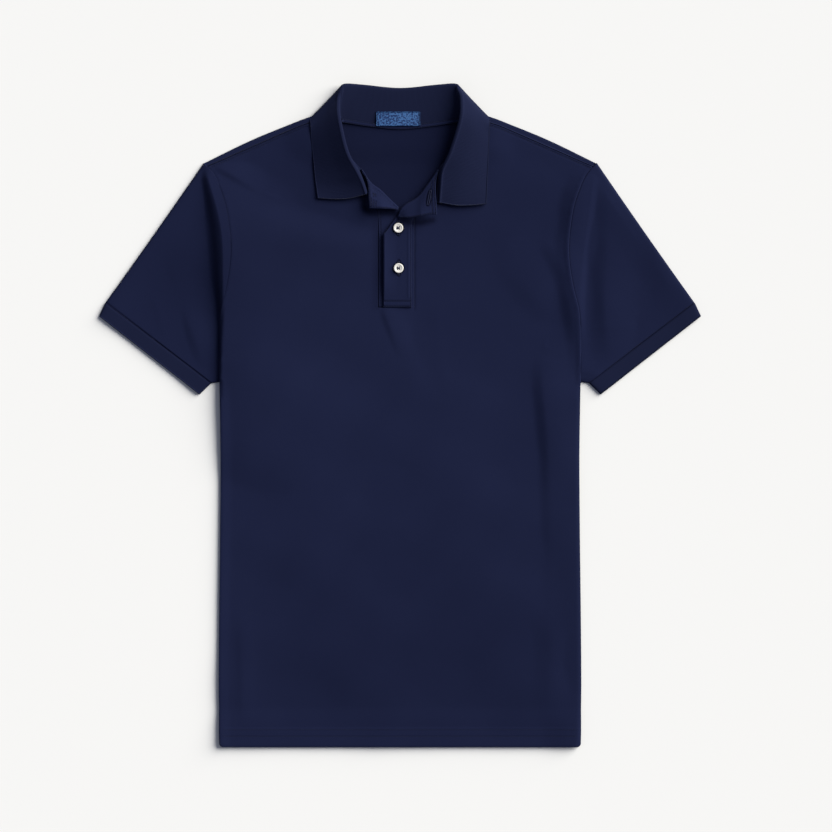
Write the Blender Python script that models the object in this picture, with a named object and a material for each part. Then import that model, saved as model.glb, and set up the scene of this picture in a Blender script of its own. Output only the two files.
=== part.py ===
# A short-sleeved polo shirt lying flat on its back, front up, collar towards +Y, neck unbuttoned.
# Every number in this file is in millimetres; meshes are scaled to metres as they are made.
# The origin is on the surface the shirt lies on, under the middle of its outline.

import math

import bmesh
import bpy
from mathutils import Vector
from mathutils.geometry import delaunay_2d_cdt

METRES = 0.001

# Cloth
PIQUE = 1.2            # body and sleeve cloth
RIB = 1.6              # knit of the collar and sleeve bands
BAND = 1.6             # two layers of pique pressed into a placket
TAPE = 1.0             # neck tape and label
GAP = 0.3              # between pieces that touch
SEAM = 0.4             # between panels side by side

# Heights of the layers, each the underside of its layer
BACK_LEVEL = 0.0
FRONT_LEVEL = BACK_LEVEL + PIQUE + GAP
UNDER_LEVEL = FRONT_LEVEL
OVER_LEVEL = UNDER_LEVEL + BAND + GAP

# Half outline of the body, hem to shoulder point
HEM_Y = -379.5
UNDERARM_Y = 38.5
SHOULDER_POINT_Y = 288.0
SIDE = (
    # y, half width
    (HEM_Y, 206.3),
    (-300.0, 207.5),
    (-60.0, 205.0),
    (UNDERARM_Y, 206.5),
    (90.0, 206.0),
    (136.0, 200.0),
    (187.0, 193.0),
    (238.0, 201.0),
    (SHOULDER_POINT_Y, 224.5),
)
HEM_CORNER = 4.0

# Shoulder: the fold is the back panel's top, and the seam lies forward of it
SHOULDER = (
    # half width, y of the fold, y of the seam
    (72.0, 346.6, 342.4),
    (92.0, 341.5, 337.0),
    (104.0, 338.4, 333.4),
    (116.0, 336.4, 329.4),
    (170.0, 314.5, 306.0),
    (224.5, SHOULDER_POINT_Y, 282.1),
)
SEAM_OUTER_Y = 283.5
NECK_POINT_X = 72.0
TURN_FROM_X = 80.0     # the turned shoulder edge runs between these half widths
TURN_TO_X = 217.0

# Sleeves and their bands
SLEEVE_HEM_TOP = (333.0, 126.8)
SLEEVE_HEM_LOW = (216.8, 36.9)
BAND_TOP = (344.0, 112.6)
BAND_LOW = (230.2, 23.8)
SLEEVE_BOW = 1.6       # how far the top fold stands out from a straight line

# Plackets
SLIT_LEFT = -25.0
SLIT_RIGHT = 12.3
SLIT_FOOT = 123.0
SLIT_TURN = 205.0      # above this the slit's edges lean out to the neck
UNDER_WIDTH = 27.7
OVER_LEFT = -19.0
OVER_RIGHT = 13.5
UNDER_FOLD_RADIUS = 2.55
OVER_FOLD_RADIUS = 1.6
UNDER_FOLD = ((-44.3, 281.6), (-33.4, 265.6), (-22.6, 257.3), (-11.4, 246.2), (-1.6, 237.2))
UNDER_EDGE = ((-34.6, 236.4), (-27.0, 236.0), (-18.0, 235.8), (-9.0, 235.5), (-2.2, 235.0))
OVER_FOLD = ((-8.2, 224.4), (1.5, 236.0), (20.0, 248.5), (31.0, 262.0), (44.0, 280.6))
OVER_EDGE = ((-6.2, 223.2), (1.5, 224.2), (14.0, 225.6), (27.0, 227.6), (40.5, 229.7))
UNDER_NECK_BOW = (0, 3.4)      # column of the lapel's neck edge and how far it bows in
OVER_NECK_BOW = (1, -2.6)
UNDER_FLAP_DROP = 0.9  # how far the free edge of each lapel is below or above its fold
OVER_FLAP_RISE = 0.8

# Collar: sections from a front end round to the middle of the back.
# roll is the top of the fold, tip how far the collar is tipped outwards from upright,
# seam where it joins the neck and edge its outer edge.
COLLAR_COLUMNS = "roll_x roll_y roll_z tip seam_x seam_y seam_z edge_x edge_y edge_z".split()
LEFT_FRONT = (
    (39.8, 252.8, 7.2, 0, 37.2, 253.4, 3.7, 94.5, 247.8, 4.2),
    (44.8, 266.0, 9.5, 0, 39.8, 267.5, 4.6, 96.0, 259.5, 4.2),
    (50.5, 279.0, 12.0, 0, 48.0, 284.6, 4.6, 97.5, 271.0, 4.1),
    (61.5, 301.0, 17.0, 5, 64.5, 300.5, 4.9, 99.7, 296.0, 4.9),
)
RIGHT_FRONT = (
    (46.8, 243.4, 7.4, 0, 43.0, 244.6, 3.7, 99.4, 241.0, 4.6),
    (48.4, 261.0, 10.0, 0, 43.6, 262.0, 4.6, 99.8, 255.5, 4.6),
    (50.6, 280.0, 13.0, 0, 47.6, 284.2, 4.6, 100.3, 268.0, 4.4),
    (57.5, 301.0, 17.5, 5, 63.5, 300.5, 4.9, 101.3, 294.0, 4.9),
)
SIDES_AND_BACK = (
    (70.0, 337.0, 22.0, 8, 75.0, 329.0, 5.6, 102.0, 319.0, 6.2),
    (72.4, 360.0, 19.0, 20, 76.0, 338.5, 5.8, 103.8, 332.0, 7.2),
    (71.2, 371.6, 16.0, 45, 72.0, 341.0, 5.7, 106.8, 341.2, 3.2),
    (65.0, 377.4, 11.0, 65, 63.5, 336.5, 3.4, 101.0, 338.3, 0.8),
    (42.0, 377.0, 6.2, 80, 40.0, 331.8, 2.7, 58.0, 320.0, 0.8),
    (0.0, 373.6, 4.8, 85, 0.0, 329.0, 2.7, 0.0, 316.5, 0.8),
)
ROLL_RADIUS = 2.0
LEAF_BULGE = 2.0
STEPS_BETWEEN_SECTIONS = 3
NECK_MARGIN = 3.0      # the front panel reaches this far inside the collar seam
NECK_CENTRE_Y = 315.0

# The panels rise over the part of the collar that lies under the back of the neck
LIFT = RIB + GAP
LIFT_FROM_Y, LIFT_TO_Y = 284.0, 311.0
LIFT_IN_X, LIFT_OUT_X = 102.0, 135.0

# Main folds of the front: crest from one point to the other
FOLDS = (
    # x0, y0, x1, y1, half width, height
    (156, 36, 168, -39, 14, 2.4),      # right side below the arm
    (168, -39, 168, -132, 14, 2.2),
    (160, 187, 180, 153, 10, 1.8),     # right chest by the armhole
    (117, 176, 140, 142, 12, 1.0),
    (-205, 274, -163, 256, 8, 1.4),    # left shoulder
    (-24, 120, -4, 80, 7, 1.2),        # below the placket
    (222, 222, 230, 120, 10, 1.8),     # right sleeve
    (244, 214, 250, 140, 9, 1.2),
    (281, 142, 272, 118, 7, 1.0),
    (-251, 134, -228, 72, 8, 1.8),     # left sleeve
    (-277, 133, -270, 112, 7, 1.0),
)
# The left armhole seam stands over the sleeve, which drops away beside it
STEP_HEIGHT = 3.0
STEP_INNER_X, STEP_FLAT_X = 192.0, 150.0
STEP_RAMP = 7.0
STEP_LINE = (
    # y, half width of the foot of the step
    (40.0, 206.5),
    (72.0, 206.0),
    (124.0, 205.0),
    (163.0, 207.5),
    (215.0, 214.0),
    (275.0, 223.0),
)
STEP_FADE = ((60.0, 110.0), (255.0, 290.0))

# Label, tape and buttons
LABEL_X = (-27.5, 23.0)
LABEL_Y = (330.6, 347.0)
LABEL_LEVEL = 5.4
TAPE_HALF = 55.0
TAPE_WIDTH = 6.0
TAPE_LEVEL = 3.9
TAPE_END_RISE = 0.8
BUTTON_RADIUS = 6.0
BUTTON_THICK = 2.4
BUTTON_DISH = 3.9
BUTTON_DISH_DEPTH = 0.6
BUTTON_SIDES = 24
HOLE_RADIUS = 0.75
HOLE_OFFSET = 1.25
BUTTONS = (
    # name, x, y, underside
    ("button_middle", -2.0, 214.0, OVER_LEVEL + BAND + GAP),
    ("button_low", -1.6, 168.0, OVER_LEVEL + BAND + GAP),
    ("button_neck", -29.0, 251.0, UNDER_LEVEL + BAND + GAP),
)

# Mesh spacing
PANEL_STEP = 38.0
NECK_STEP = 16.0
FOLD_STEP = 20.0
SLEEVE_ALONG = (0.0, 0.05, 0.1, 0.15, 0.22, 0.35, 0.5, 0.66, 0.83, 1.0)
SLEEVE_ACROSS = 14
EDGE_INSET = 0.75      # half the distance between the middles of the two layers

COLOURS = {
    "pique": (0.0123, 0.0160, 0.0452),
    "rib": (0.0110, 0.0144, 0.0400),
    "label": (0.031, 0.080, 0.202),
    "button": (0.80, 0.79, 0.76),
}
ROUGHNESS = {"pique": 0.85, "rib": 0.9, "label": 0.6, "button": 0.25}


def clear_scene():
    for item in list(bpy.data.objects):
        bpy.data.objects.remove(item, do_unlink=True)


def material(kind):
    made = bpy.data.materials.get(kind)
    if made:
        return made
    made = bpy.data.materials.new(kind)
    made.use_nodes = True
    shader = made.node_tree.nodes["Principled BSDF"]
    shader.inputs["Base Color"].default_value = (*COLOURS[kind], 1.0)
    shader.inputs["Roughness"].default_value = ROUGHNESS[kind]
    shader.inputs["Metallic"].default_value = 0.0
    return made


def make_object(name, kind, points, faces, smooth=True):
    mesh = bpy.data.meshes.new(name)
    mesh.from_pydata([[c * METRES for c in p] for p in points], [], faces)
    work = bmesh.new()
    work.from_mesh(mesh)
    bmesh.ops.recalc_face_normals(work, faces=work.faces)
    work.to_mesh(mesh)
    work.free()
    mesh.validate()
    made = bpy.data.objects.new(name, mesh)
    bpy.context.collection.objects.link(made)
    mesh.materials.append(material(kind))
    if smooth:
        mesh.shade_smooth()
        mesh.set_sharp_from_angle(angle=math.radians(40))
    return made


def ease(value, low, high):
    """0 up to low, 1 from high, and a soft ramp between."""
    t = min(max((value - low) / (high - low), 0.0), 1.0)
    return t * t * (3 - 2 * t)


def mix(a, b, t):
    return tuple(p + (q - p) * t for p, q in zip(a, b))


def lookup(rows, key):
    """Values at key on a smooth curve through rows, each of which starts with its own key."""
    last = len(rows) - 1
    i = 0
    while i < last - 1 and rows[i + 1][0] <= key:
        i += 1
    before, a, b, after = rows[max(i - 1, 0)], rows[i], rows[i + 1], rows[min(i + 2, last)]
    span = b[0] - a[0]
    t = min(max((key - a[0]) / span, 0.0), 1.0)
    values = []
    for k in range(1, len(a)):
        leave = (b[k] - before[k]) / (b[0] - before[0]) * span
        arrive = (after[k] - a[k]) / (after[0] - a[0]) * span
        values.append(
            (2 * t**3 - 3 * t**2 + 1) * a[k]
            + (t**3 - 2 * t**2 + t) * leave
            + (3 * t**2 - 2 * t**3) * b[k]
            + (t**3 - t**2) * arrive
        )
    return values


def spline(points, t):
    """Point at t, 0 to 1, on a smooth curve through points."""
    rows = [(k, *p) for k, p in enumerate(points)]
    return tuple(lookup(rows, t * (len(points) - 1)))


def half_width(y):
    return lookup(SIDE, y)[0]


def shoulder_fold_y(x):
    return lookup(SHOULDER, abs(x))[0]


def shoulder_seam_y(x):
    return lookup(SHOULDER, abs(x))[1]


def lift(x, y):
    """How far the panels are raised by the collar under them."""
    return LIFT * ease(y, LIFT_FROM_Y, LIFT_TO_Y) * (1 - ease(abs(x), LIFT_IN_X, LIFT_OUT_X))


def ridge(x, y, fold):
    """Height that one soft fold adds at a place."""
    x0, y0, x1, y1, half, height = fold
    dx, dy = x1 - x0, y1 - y0
    length = math.hypot(dx, dy)
    t = ((x - x0) * dx + (y - y0) * dy) / length**2
    aside = abs((x - x0) * dy - (y - y0) * dx) / length
    ends = ease(t, -0.25, 0.25) * (1 - ease(t, 0.75, 1.25))
    return height * ends * (1 - ease(aside, 0.0, 2.0 * half))


def step_height(x, y):
    """The raised body side of the left armhole seam, over the lower sleeve."""
    (low, low_full), (high_full, high) = STEP_FADE
    foot = -lookup(STEP_LINE, y)[0]
    ends = ease(y, low, low_full) * (1 - ease(y, high_full, high))
    rise = ease(x, foot, foot + STEP_RAMP)
    fall = 1 - ease(x, -STEP_INNER_X, -STEP_FLAT_X)
    return STEP_HEIGHT * ends * rise * fall


def relief(x, y):
    """Folds of the front, over its plain level."""
    return sum(ridge(x, y, fold) for fold in FOLDS) + step_height(x, y)


def back_underside(x, y):
    return BACK_LEVEL + lift(x, y)


def front_underside(x, y):
    return FRONT_LEVEL + lift(x, y) * 1.06 + relief(x, y)


def collar_rows():
    """Sections of the whole collar from its left front end to its right one."""
    half = len(LEFT_FRONT) + len(SIDES_AND_BACK)
    left = [dict(zip(COLLAR_COLUMNS, row)) for row in LEFT_FRONT + SIDES_AND_BACK]
    right = [dict(zip(COLLAR_COLUMNS, row)) for row in RIGHT_FRONT + SIDES_AND_BACK]
    for row in left:
        for key in ("roll_x", "seam_x", "edge_x"):
            row[key] = -row[key]
    rows = left + right[:half - 1][::-1]
    return [(k, *(row[c] for c in COLLAR_COLUMNS)) for k, row in enumerate(rows)]


def collar_section(rows, key):
    """Middle line of the collar's knit at one place, from its seam over the roll to its edge."""
    row = dict(zip(COLLAR_COLUMNS, lookup(rows, key)))
    roll = Vector((row["roll_x"], row["roll_y"], row["roll_z"]))
    seam = Vector((row["seam_x"], row["seam_y"], row["seam_z"]))
    edge = Vector((row["edge_x"], row["edge_y"], row["edge_z"]))
    last = len(rows) - 1
    ahead = Vector(lookup(rows, min(key + 0.1, last))[:2])
    behind = Vector(lookup(rows, max(key - 0.1, 0))[:2])
    along = (ahead - behind).normalized()
    outward = Vector((-along.y, along.x, 0.0))
    tip = math.radians(row["tip"])
    up = outward * math.sin(tip) + Vector((0, 0, math.cos(tip)))
    leaf = outward * math.cos(tip) - Vector((0, 0, math.sin(tip)))
    stand_side = roll - up * ROLL_RADIUS - leaf * ROLL_RADIUS
    leaf_side = roll - up * ROLL_RADIUS * 0.6 + leaf * ROLL_RADIUS * 1.3
    bulge = Vector((0, 0, LEAF_BULGE * math.cos(tip)))
    under = math.sin(tip) ** 2
    knots = [seam, (seam + stand_side) / 2, stand_side, roll, leaf_side]
    for part, hanging, swell in ((0.35, 0.14, 1.0), (0.7, 0.0, 0.7)):
        place = leaf_side.lerp(edge, part) + bulge * swell
        lying = edge.z + (leaf_side.z - edge.z) * hanging
        place.z += (lying - place.z) * under
        knots.append(place)
    knots.append(edge)
    line = [spline(knots, t / 14) for t in range(15)]
    floor = RIB / 2
    return [Vector((p[0], p[1], max(p[2], floor))) for p in line]


def wall(name, kind, grid, thick, ring=False):
    """A closed sheet of even thickness whose middle passes through a grid of points."""
    rows, cols = len(grid), len(grid[0])
    grid = [[Vector(p) for p in row] for row in grid]

    def at(i, j):
        i = min(max(i, 0), rows - 1)
        j = j % cols if ring else min(max(j, 0), cols - 1)
        return grid[i][j]

    top, bottom = [], []
    for i in range(rows):
        for j in range(cols):
            normal = Vector((0, 0, 0))
            here = at(i, j)
            around = [(1, 0), (0, 1), (-1, 0), (0, -1)]
            for (a, b), (c, d) in zip(around, around[1:] + around[:1]):
                face = (at(i + a, j + b) - here).cross(at(i + c, j + d) - here)
                if face.length > 1e-9:
                    normal += face.normalized()
            normal.normalize()
            top.append(here + normal * thick / 2)
            bottom.append(here - normal * thick / 2)
    count = rows * cols
    faces = []
    last = cols if ring else cols - 1
    for i in range(rows - 1):
        for j in range(last):
            k = (j + 1) % cols
            corner = (i * cols + j, (i + 1) * cols + j, (i + 1) * cols + k, i * cols + k)
            faces.append(corner)
            faces.append(tuple(count + v for v in reversed(corner)))
    rim = [[i * cols + j for j in range(cols)] for i in (0, rows - 1)]
    if ring:
        rim = [line + line[:1] for line in rim]
    else:
        rim += [[i * cols + j for i in range(rows)] for j in (0, cols - 1)]
    for line in rim:
        for a, b in zip(line, line[1:]):
            faces.append((a, b, count + b, count + a))
    return make_object(name, kind, top + bottom, faces)


def inside(point, outline):
    x, y = point
    odd = False
    for (x0, y0), (x1, y1) in zip(outline, outline[1:] + outline[:1]):
        if (y0 > y) != (y1 > y) and x < (x1 - x0) * (y - y0) / (y1 - y0) + x0:
            odd = not odd
    return odd


def panel_points(outline, folds):
    """Places inside an outline where a panel's height is taken, close together on its folds."""
    places = []
    for x0, y0, x1, y1, half, _ in folds:
        length = math.hypot(x1 - x0, y1 - y0)
        nx, ny = (y1 - y0) / length, (x0 - x1) / length
        steps = max(1, round(1.5 * length / FOLD_STEP))
        for k in range(steps + 1):
            t = -0.25 + 1.5 * k / steps
            for aside in (-2.0, -1.0, 0.0, 1.0, 2.0):
                places.append((
                    x0 + (x1 - x0) * t + nx * aside * half,
                    y0 + (y1 - y0) * t + ny * aside * half,
                ))
    ys = [p[1] for p in outline]
    y = min(ys) + PANEL_STEP / 2
    while y < max(ys):
        step = NECK_STEP if y > LIFT_FROM_Y - NECK_STEP else PANEL_STEP
        columns = int(260 / step)
        places += [(k * step, y) for k in range(-columns, columns + 1)]
        y += step
    kept = []
    clear = 0.42 * NECK_STEP
    for place in places:
        if not inside(place, outline):
            continue
        if any(math.dist(place, other) < clear for other in outline):
            continue
        if any(math.dist(place, other) < clear for other in kept):
            continue
        kept.append(place)
    return kept


def panel(name, outline, underside, folds, turned=None):
    """A flat-cut panel: an outline filled in, lying at underside(x, y).

    turned gives, for outline points that carry a turned-over edge, where that edge ends.
    """
    turned = turned or {}
    places = outline + panel_points(outline, folds)
    size = len(outline)
    edges = [(k, (k + 1) % size) for k in range(size)]
    flat, _, faces, source, _, _ = delaunay_2d_cdt([Vector(p) for p in places], edges, [], 1, 1e-6)
    where = {old[0]: new for new, old in enumerate(source) if old}
    rim = [where[k] for k in range(size)]
    count = len(flat)
    points = [(p.x, p.y, underside(p.x, p.y)) for p in flat]
    points += [(p.x, p.y, underside(p.x, p.y) + PIQUE) for p in flat]
    skin = [tuple(reversed(f)) for f in faces] + [tuple(count + v for v in f) for f in faces]
    profiles = {}
    for k, inner in turned.items():
        x, y = outline[k]
        low = underside(x, y)
        reach = Vector((inner[0] - x, inner[1] - y)).normalized()
        bend = (x + reach.x * EDGE_INSET, y + reach.y * EDGE_INSET)
        inset = (x + reach.x * 1.5 * PIQUE, y + reach.y * 1.5 * PIQUE)
        top = low + 2 * PIQUE + GAP
        points[rim[k]] = (*bend, low)
        points[rim[k] + count] = (*inset, low + PIQUE)
        ring = [
            (x, y, low + EDGE_INSET * 0.8),
            (x, y, top - EDGE_INSET * 0.8),
            (*bend, top),
            (*inner, top),
            (*inner, top - PIQUE),
            (*inset, top - PIQUE),
        ]
        profiles[k] = [rim[k]] + [len(points) + n for n in range(len(ring))] + [rim[k] + count]
        points += ring
    for k in range(size):
        n = (k + 1) % size
        a, b = profiles.get(k), profiles.get(n)
        if a and b:
            skin += [(a[i], b[i], b[i + 1], a[i + 1]) for i in range(len(a) - 1)]
            continue
        if a:
            skin.append(tuple(a))
        if b:
            skin.append(tuple(reversed(b)))
        skin.append((rim[k], rim[n], count + rim[n], count + rim[k]))
    return make_object(name, "pique", points, skin)


def side_line(top_y):
    """Right side of a body panel from the hem up to top_y."""
    corner = half_width(HEM_Y)
    line = [(corner - HEM_CORNER, HEM_Y), (corner, HEM_Y + HEM_CORNER)]
    for y in (-345, -310, -270, -230, -190, -150, -110, -70, -30, 5):
        line.append((half_width(y), y))
    steps = 13
    for k in range(steps + 1):
        y = UNDERARM_Y + (top_y - UNDERARM_Y) * k / steps
        line.append((half_width(y), y))
    return line


def mirrored(line):
    return [(-x, y) for x, y in reversed(line)]


def hem_line():
    width = half_width(HEM_Y)
    return [(width * k / 5, HEM_Y) for k in range(-4, 5)]


def seam_point(rows, key):
    row = dict(zip(COLLAR_COLUMNS, lookup(rows, key)))
    return row["seam_x"], row["seam_y"]


def make_back(rows):
    last = len(rows) - 1
    side = side_line(SHOULDER_POINT_Y)
    fold_x = [TURN_TO_X, 205, 192, 178, 164, 150, 138, 126, 116, 108, 100, 90, TURN_FROM_X]
    fold = [(x, shoulder_fold_y(x)) for x in fold_x]
    corner = (NECK_POINT_X + 1.5, shoulder_fold_y(NECK_POINT_X))
    back_keys = [last / 2 + 0.5 * k for k in range(-5, 6)]
    neck = [seam_point(rows, key) for key in back_keys]
    neck = [(x, y - SEAM) for x, y in reversed(neck)]
    right = side + fold + [corner]
    outline = right + neck + mirrored(right) + hem_line()
    turned = {}
    for k, (x, y) in enumerate(outline):
        if y > SHOULDER_POINT_Y and TURN_FROM_X - 0.01 <= abs(x) <= TURN_TO_X + 0.01:
            turned[k] = (x, shoulder_seam_y(x) + SEAM)
    return panel("back", outline, back_underside, (), turned)


def make_front(rows):
    last = len(rows) - 1
    side = side_line(SEAM_OUTER_Y)
    seam_x = (205, 192, 178, 164, 150, 138, 126, 116, 108, 100, 90, 82, NECK_POINT_X)
    shoulder = [(x, shoulder_seam_y(x)) for x in seam_x]
    centre = Vector((0.0, NECK_CENTRE_Y))
    neck = {}
    for sign, keys in ((1, (last - 5, last - 4.5, last - 4, last - 3.5, last - 3, last - 2.5)),
                       (-1, (5, 4.5, 4, 3.5, 3, 2.5))):
        line = []
        for key in keys:
            place = Vector(seam_point(rows, key))
            place += (centre - place).normalized() * NECK_MARGIN
            line.append((place.x, place.y))
        neck[sign] = line
    right_slit = [(45.0, 281.0), (34.0, 255.0), (23.0, 229.5), (SLIT_RIGHT, SLIT_TURN),
                  (SLIT_RIGHT, 178.0), (SLIT_RIGHT, 150.0), (SLIT_RIGHT, SLIT_FOOT)]
    left_slit = [(SLIT_LEFT, SLIT_FOOT), (SLIT_LEFT, 150.0), (SLIT_LEFT, 178.0),
                 (SLIT_LEFT, SLIT_TURN), (-31.7, 230.5), (-38.3, 256.0), (-45.2, 282.0)]
    left = [(-x, y) for x, y in side + shoulder]
    outline = (side + shoulder + neck[1] + right_slit + left_slit
               + neck[-1][::-1] + left[::-1] + hem_line())
    return panel("front", outline, front_underside, FOLDS[:6])


def sleeve_corners(sign, along):
    """The top and low ends of the sleeve's cross line at a fraction of its length."""
    top_start = Vector((224.5 + SEAM, SHOULDER_POINT_Y + SEAM))
    low_start = Vector((half_width(UNDERARM_Y) + SEAM, UNDERARM_Y))
    top = top_start.lerp(Vector(SLEEVE_HEM_TOP), along)
    low = low_start.lerp(Vector(SLEEVE_HEM_LOW), along)
    bow = SLEEVE_BOW * 4 * along * (1 - along)
    top += Vector((0.83, 0.56)) * bow
    return Vector((sign * top.x, top.y)), Vector((sign * low.x, low.y))


def sleeve_point(sign, along, across):
    """Plan position on a sleeve: along from armhole to band, across from top fold to underarm."""
    top, low = sleeve_corners(sign, along)
    place = top.lerp(low, across)
    start, end = sleeve_corners(sign, 0.0)
    y = start.y + (end.y - start.y) * across
    curve = Vector((sign * (half_width(y) + SEAM), y))
    return place + (curve - start.lerp(end, across)) * (1 - along) ** 1.5


def tube_section(sign, places, thick, low, fold_relief):
    """Middle line round a flattened tube: over its upper layer and back through its lower one."""
    split = (thick + GAP) / 2
    centre = low + thick + GAP / 2
    first, last = places[0], places[-1]
    across = (last - first).normalized()
    upper = [first + across * split] + places[1:-1] + [last - across * split]
    ring = [Vector((first.x, first.y, centre))]
    for p in upper:
        inner = min((p - first).length, (last - p).length) / 12
        rise = relief(p.x, p.y) * min(1.0, inner) if fold_relief else 0.0
        ring.append(Vector((p.x, p.y, centre + split + rise)))
    ring.append(Vector((last.x, last.y, centre)))
    ring += [Vector((p.x, p.y, centre - split)) for p in reversed(upper)]
    return ring if sign > 0 else ring[:1] + ring[:0:-1]


def make_sleeve(side, sign):
    grid = []
    for along in SLEEVE_ALONG:
        places = [sleeve_point(sign, along, k / SLEEVE_ACROSS) for k in range(SLEEVE_ACROSS + 1)]
        grid.append(tube_section(sign, places, PIQUE, BACK_LEVEL, True))
    return wall(f"sleeve_{side}", "pique", grid, PIQUE, ring=True)


def make_cuff(side, sign):
    top, low = Vector(SLEEVE_HEM_TOP), Vector(SLEEVE_HEM_LOW)
    end_top, end_low = Vector(BAND_TOP), Vector(BAND_LOW)
    start = SEAM / (end_top - top).length
    grid = []
    for along in (start, 0.35, 0.7, 1.0):
        a, b = top.lerp(end_top, along), low.lerp(end_low, along)
        places = [a.lerp(b, k / SLEEVE_ACROSS) for k in range(SLEEVE_ACROSS + 1)]
        places = [Vector((sign * p.x, p.y)) for p in places]
        grid.append(tube_section(sign, places, RIB, BACK_LEVEL, False))
    return wall(f"cuff_{side}", "rib", grid, RIB, ring=True)


def make_collar(rows):
    last = len(rows) - 1
    count = last * STEPS_BETWEEN_SECTIONS
    grid = [collar_section(rows, last * k / count) for k in range(count + 1)]
    return wall("collar", "rib", grid, RIB)


def placket_grid(straight, fold_line, edge_line, level, radius, rise, neck_bow):
    """A strip that runs up the front, turns over along fold_line and ends at edge_line."""
    columns = 9
    middle = level + BAND / 2
    grid = []
    for y, left, right in straight:
        grid.append([(left + (right - left) * w / (columns - 1), y, middle) for w in range(columns)])
    top_y, top_left, top_right = straight[-1]
    flat = [(top_left + (top_right - top_left) * w / (columns - 1), top_y) for w in range(columns)]
    fold = [spline(fold_line, w / (columns - 1)) for w in range(columns)]
    edge = [spline(edge_line, w / (columns - 1)) for w in range(columns)]
    for part in (0.35, 0.7):
        grid.append([(*mix(a, b, part), middle) for a, b in zip(flat, fold)])
    turn = []
    for place, free in zip(fold, edge):
        inward = (Vector(free) - Vector(place)).normalized()
        turn.append(inward)
    for angle in (-90, -45, 0, 45, 90):
        row = []
        for place, inward in zip(fold, turn):
            back = radius * (1 - math.cos(math.radians(angle)))
            height = radius * (1 + math.sin(math.radians(angle)))
            row.append((place[0] + inward.x * back, place[1] + inward.y * back, middle + height))
        grid.append(row)
    over = middle + 2 * radius
    end, bow = neck_bow
    for part in (0.22, 0.45, 0.72, 1.0):
        row = []
        for w, (place, inward, free) in enumerate(zip(fold, turn, edge)):
            start = (place[0] + inward.x * radius, place[1] + inward.y * radius)
            x, y = mix(start, free, part)
            nearness = 1 - abs(end - w / (columns - 1))
            x += bow * nearness**3 * 6.75 * part * (1 - part) ** 2
            row.append((x, y, over + rise * part))
        grid.append(row)
    return grid


def make_plackets():
    left = SLIT_LEFT + SEAM
    under = [(y, left, left + UNDER_WIDTH) for y in (SLIT_FOOT + SEAM, 160.0, SLIT_TURN)]
    grid = placket_grid(under, UNDER_FOLD, UNDER_EDGE, UNDER_LEVEL, UNDER_FOLD_RADIUS,
                        -UNDER_FLAP_DROP, UNDER_NECK_BOW)
    wall("placket_under", "pique", grid, BAND)
    over = [(y, OVER_LEFT, OVER_RIGHT) for y in (SLIT_FOOT, 150.0, 178.0, SLIT_TURN)]
    grid = placket_grid(over, OVER_FOLD, OVER_EDGE, OVER_LEVEL, OVER_FOLD_RADIUS,
                        OVER_FLAP_RISE, OVER_NECK_BOW)
    wall("placket_over", "pique", grid, BAND)


def make_tape(rows):
    last = len(rows) - 1
    grid = []
    steps = 12
    for k in range(steps + 1):
        x = TAPE_HALF * (2 * k / steps - 1)
        key = last / 2 + 2.0 * x / 63.5
        _, y = seam_point(rows, key)
        z = TAPE_LEVEL + TAPE / 2 + TAPE_END_RISE * (x / TAPE_HALF) ** 2
        grid.append([(x, y + TAPE_WIDTH * side, z) for side in (0.5, 0.0, -0.5)])
    return wall("neck_tape", "pique", grid, TAPE)


def make_label():
    grid = []
    for k in range(7):
        x = LABEL_X[0] + (LABEL_X[1] - LABEL_X[0]) * k / 6
        grid.append([
            (x, LABEL_Y[1] + (LABEL_Y[0] - LABEL_Y[1]) * w / 2, LABEL_LEVEL + TAPE / 2)
            for w in range(3)
        ])
    return wall("label", "label", grid, TAPE)


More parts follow.
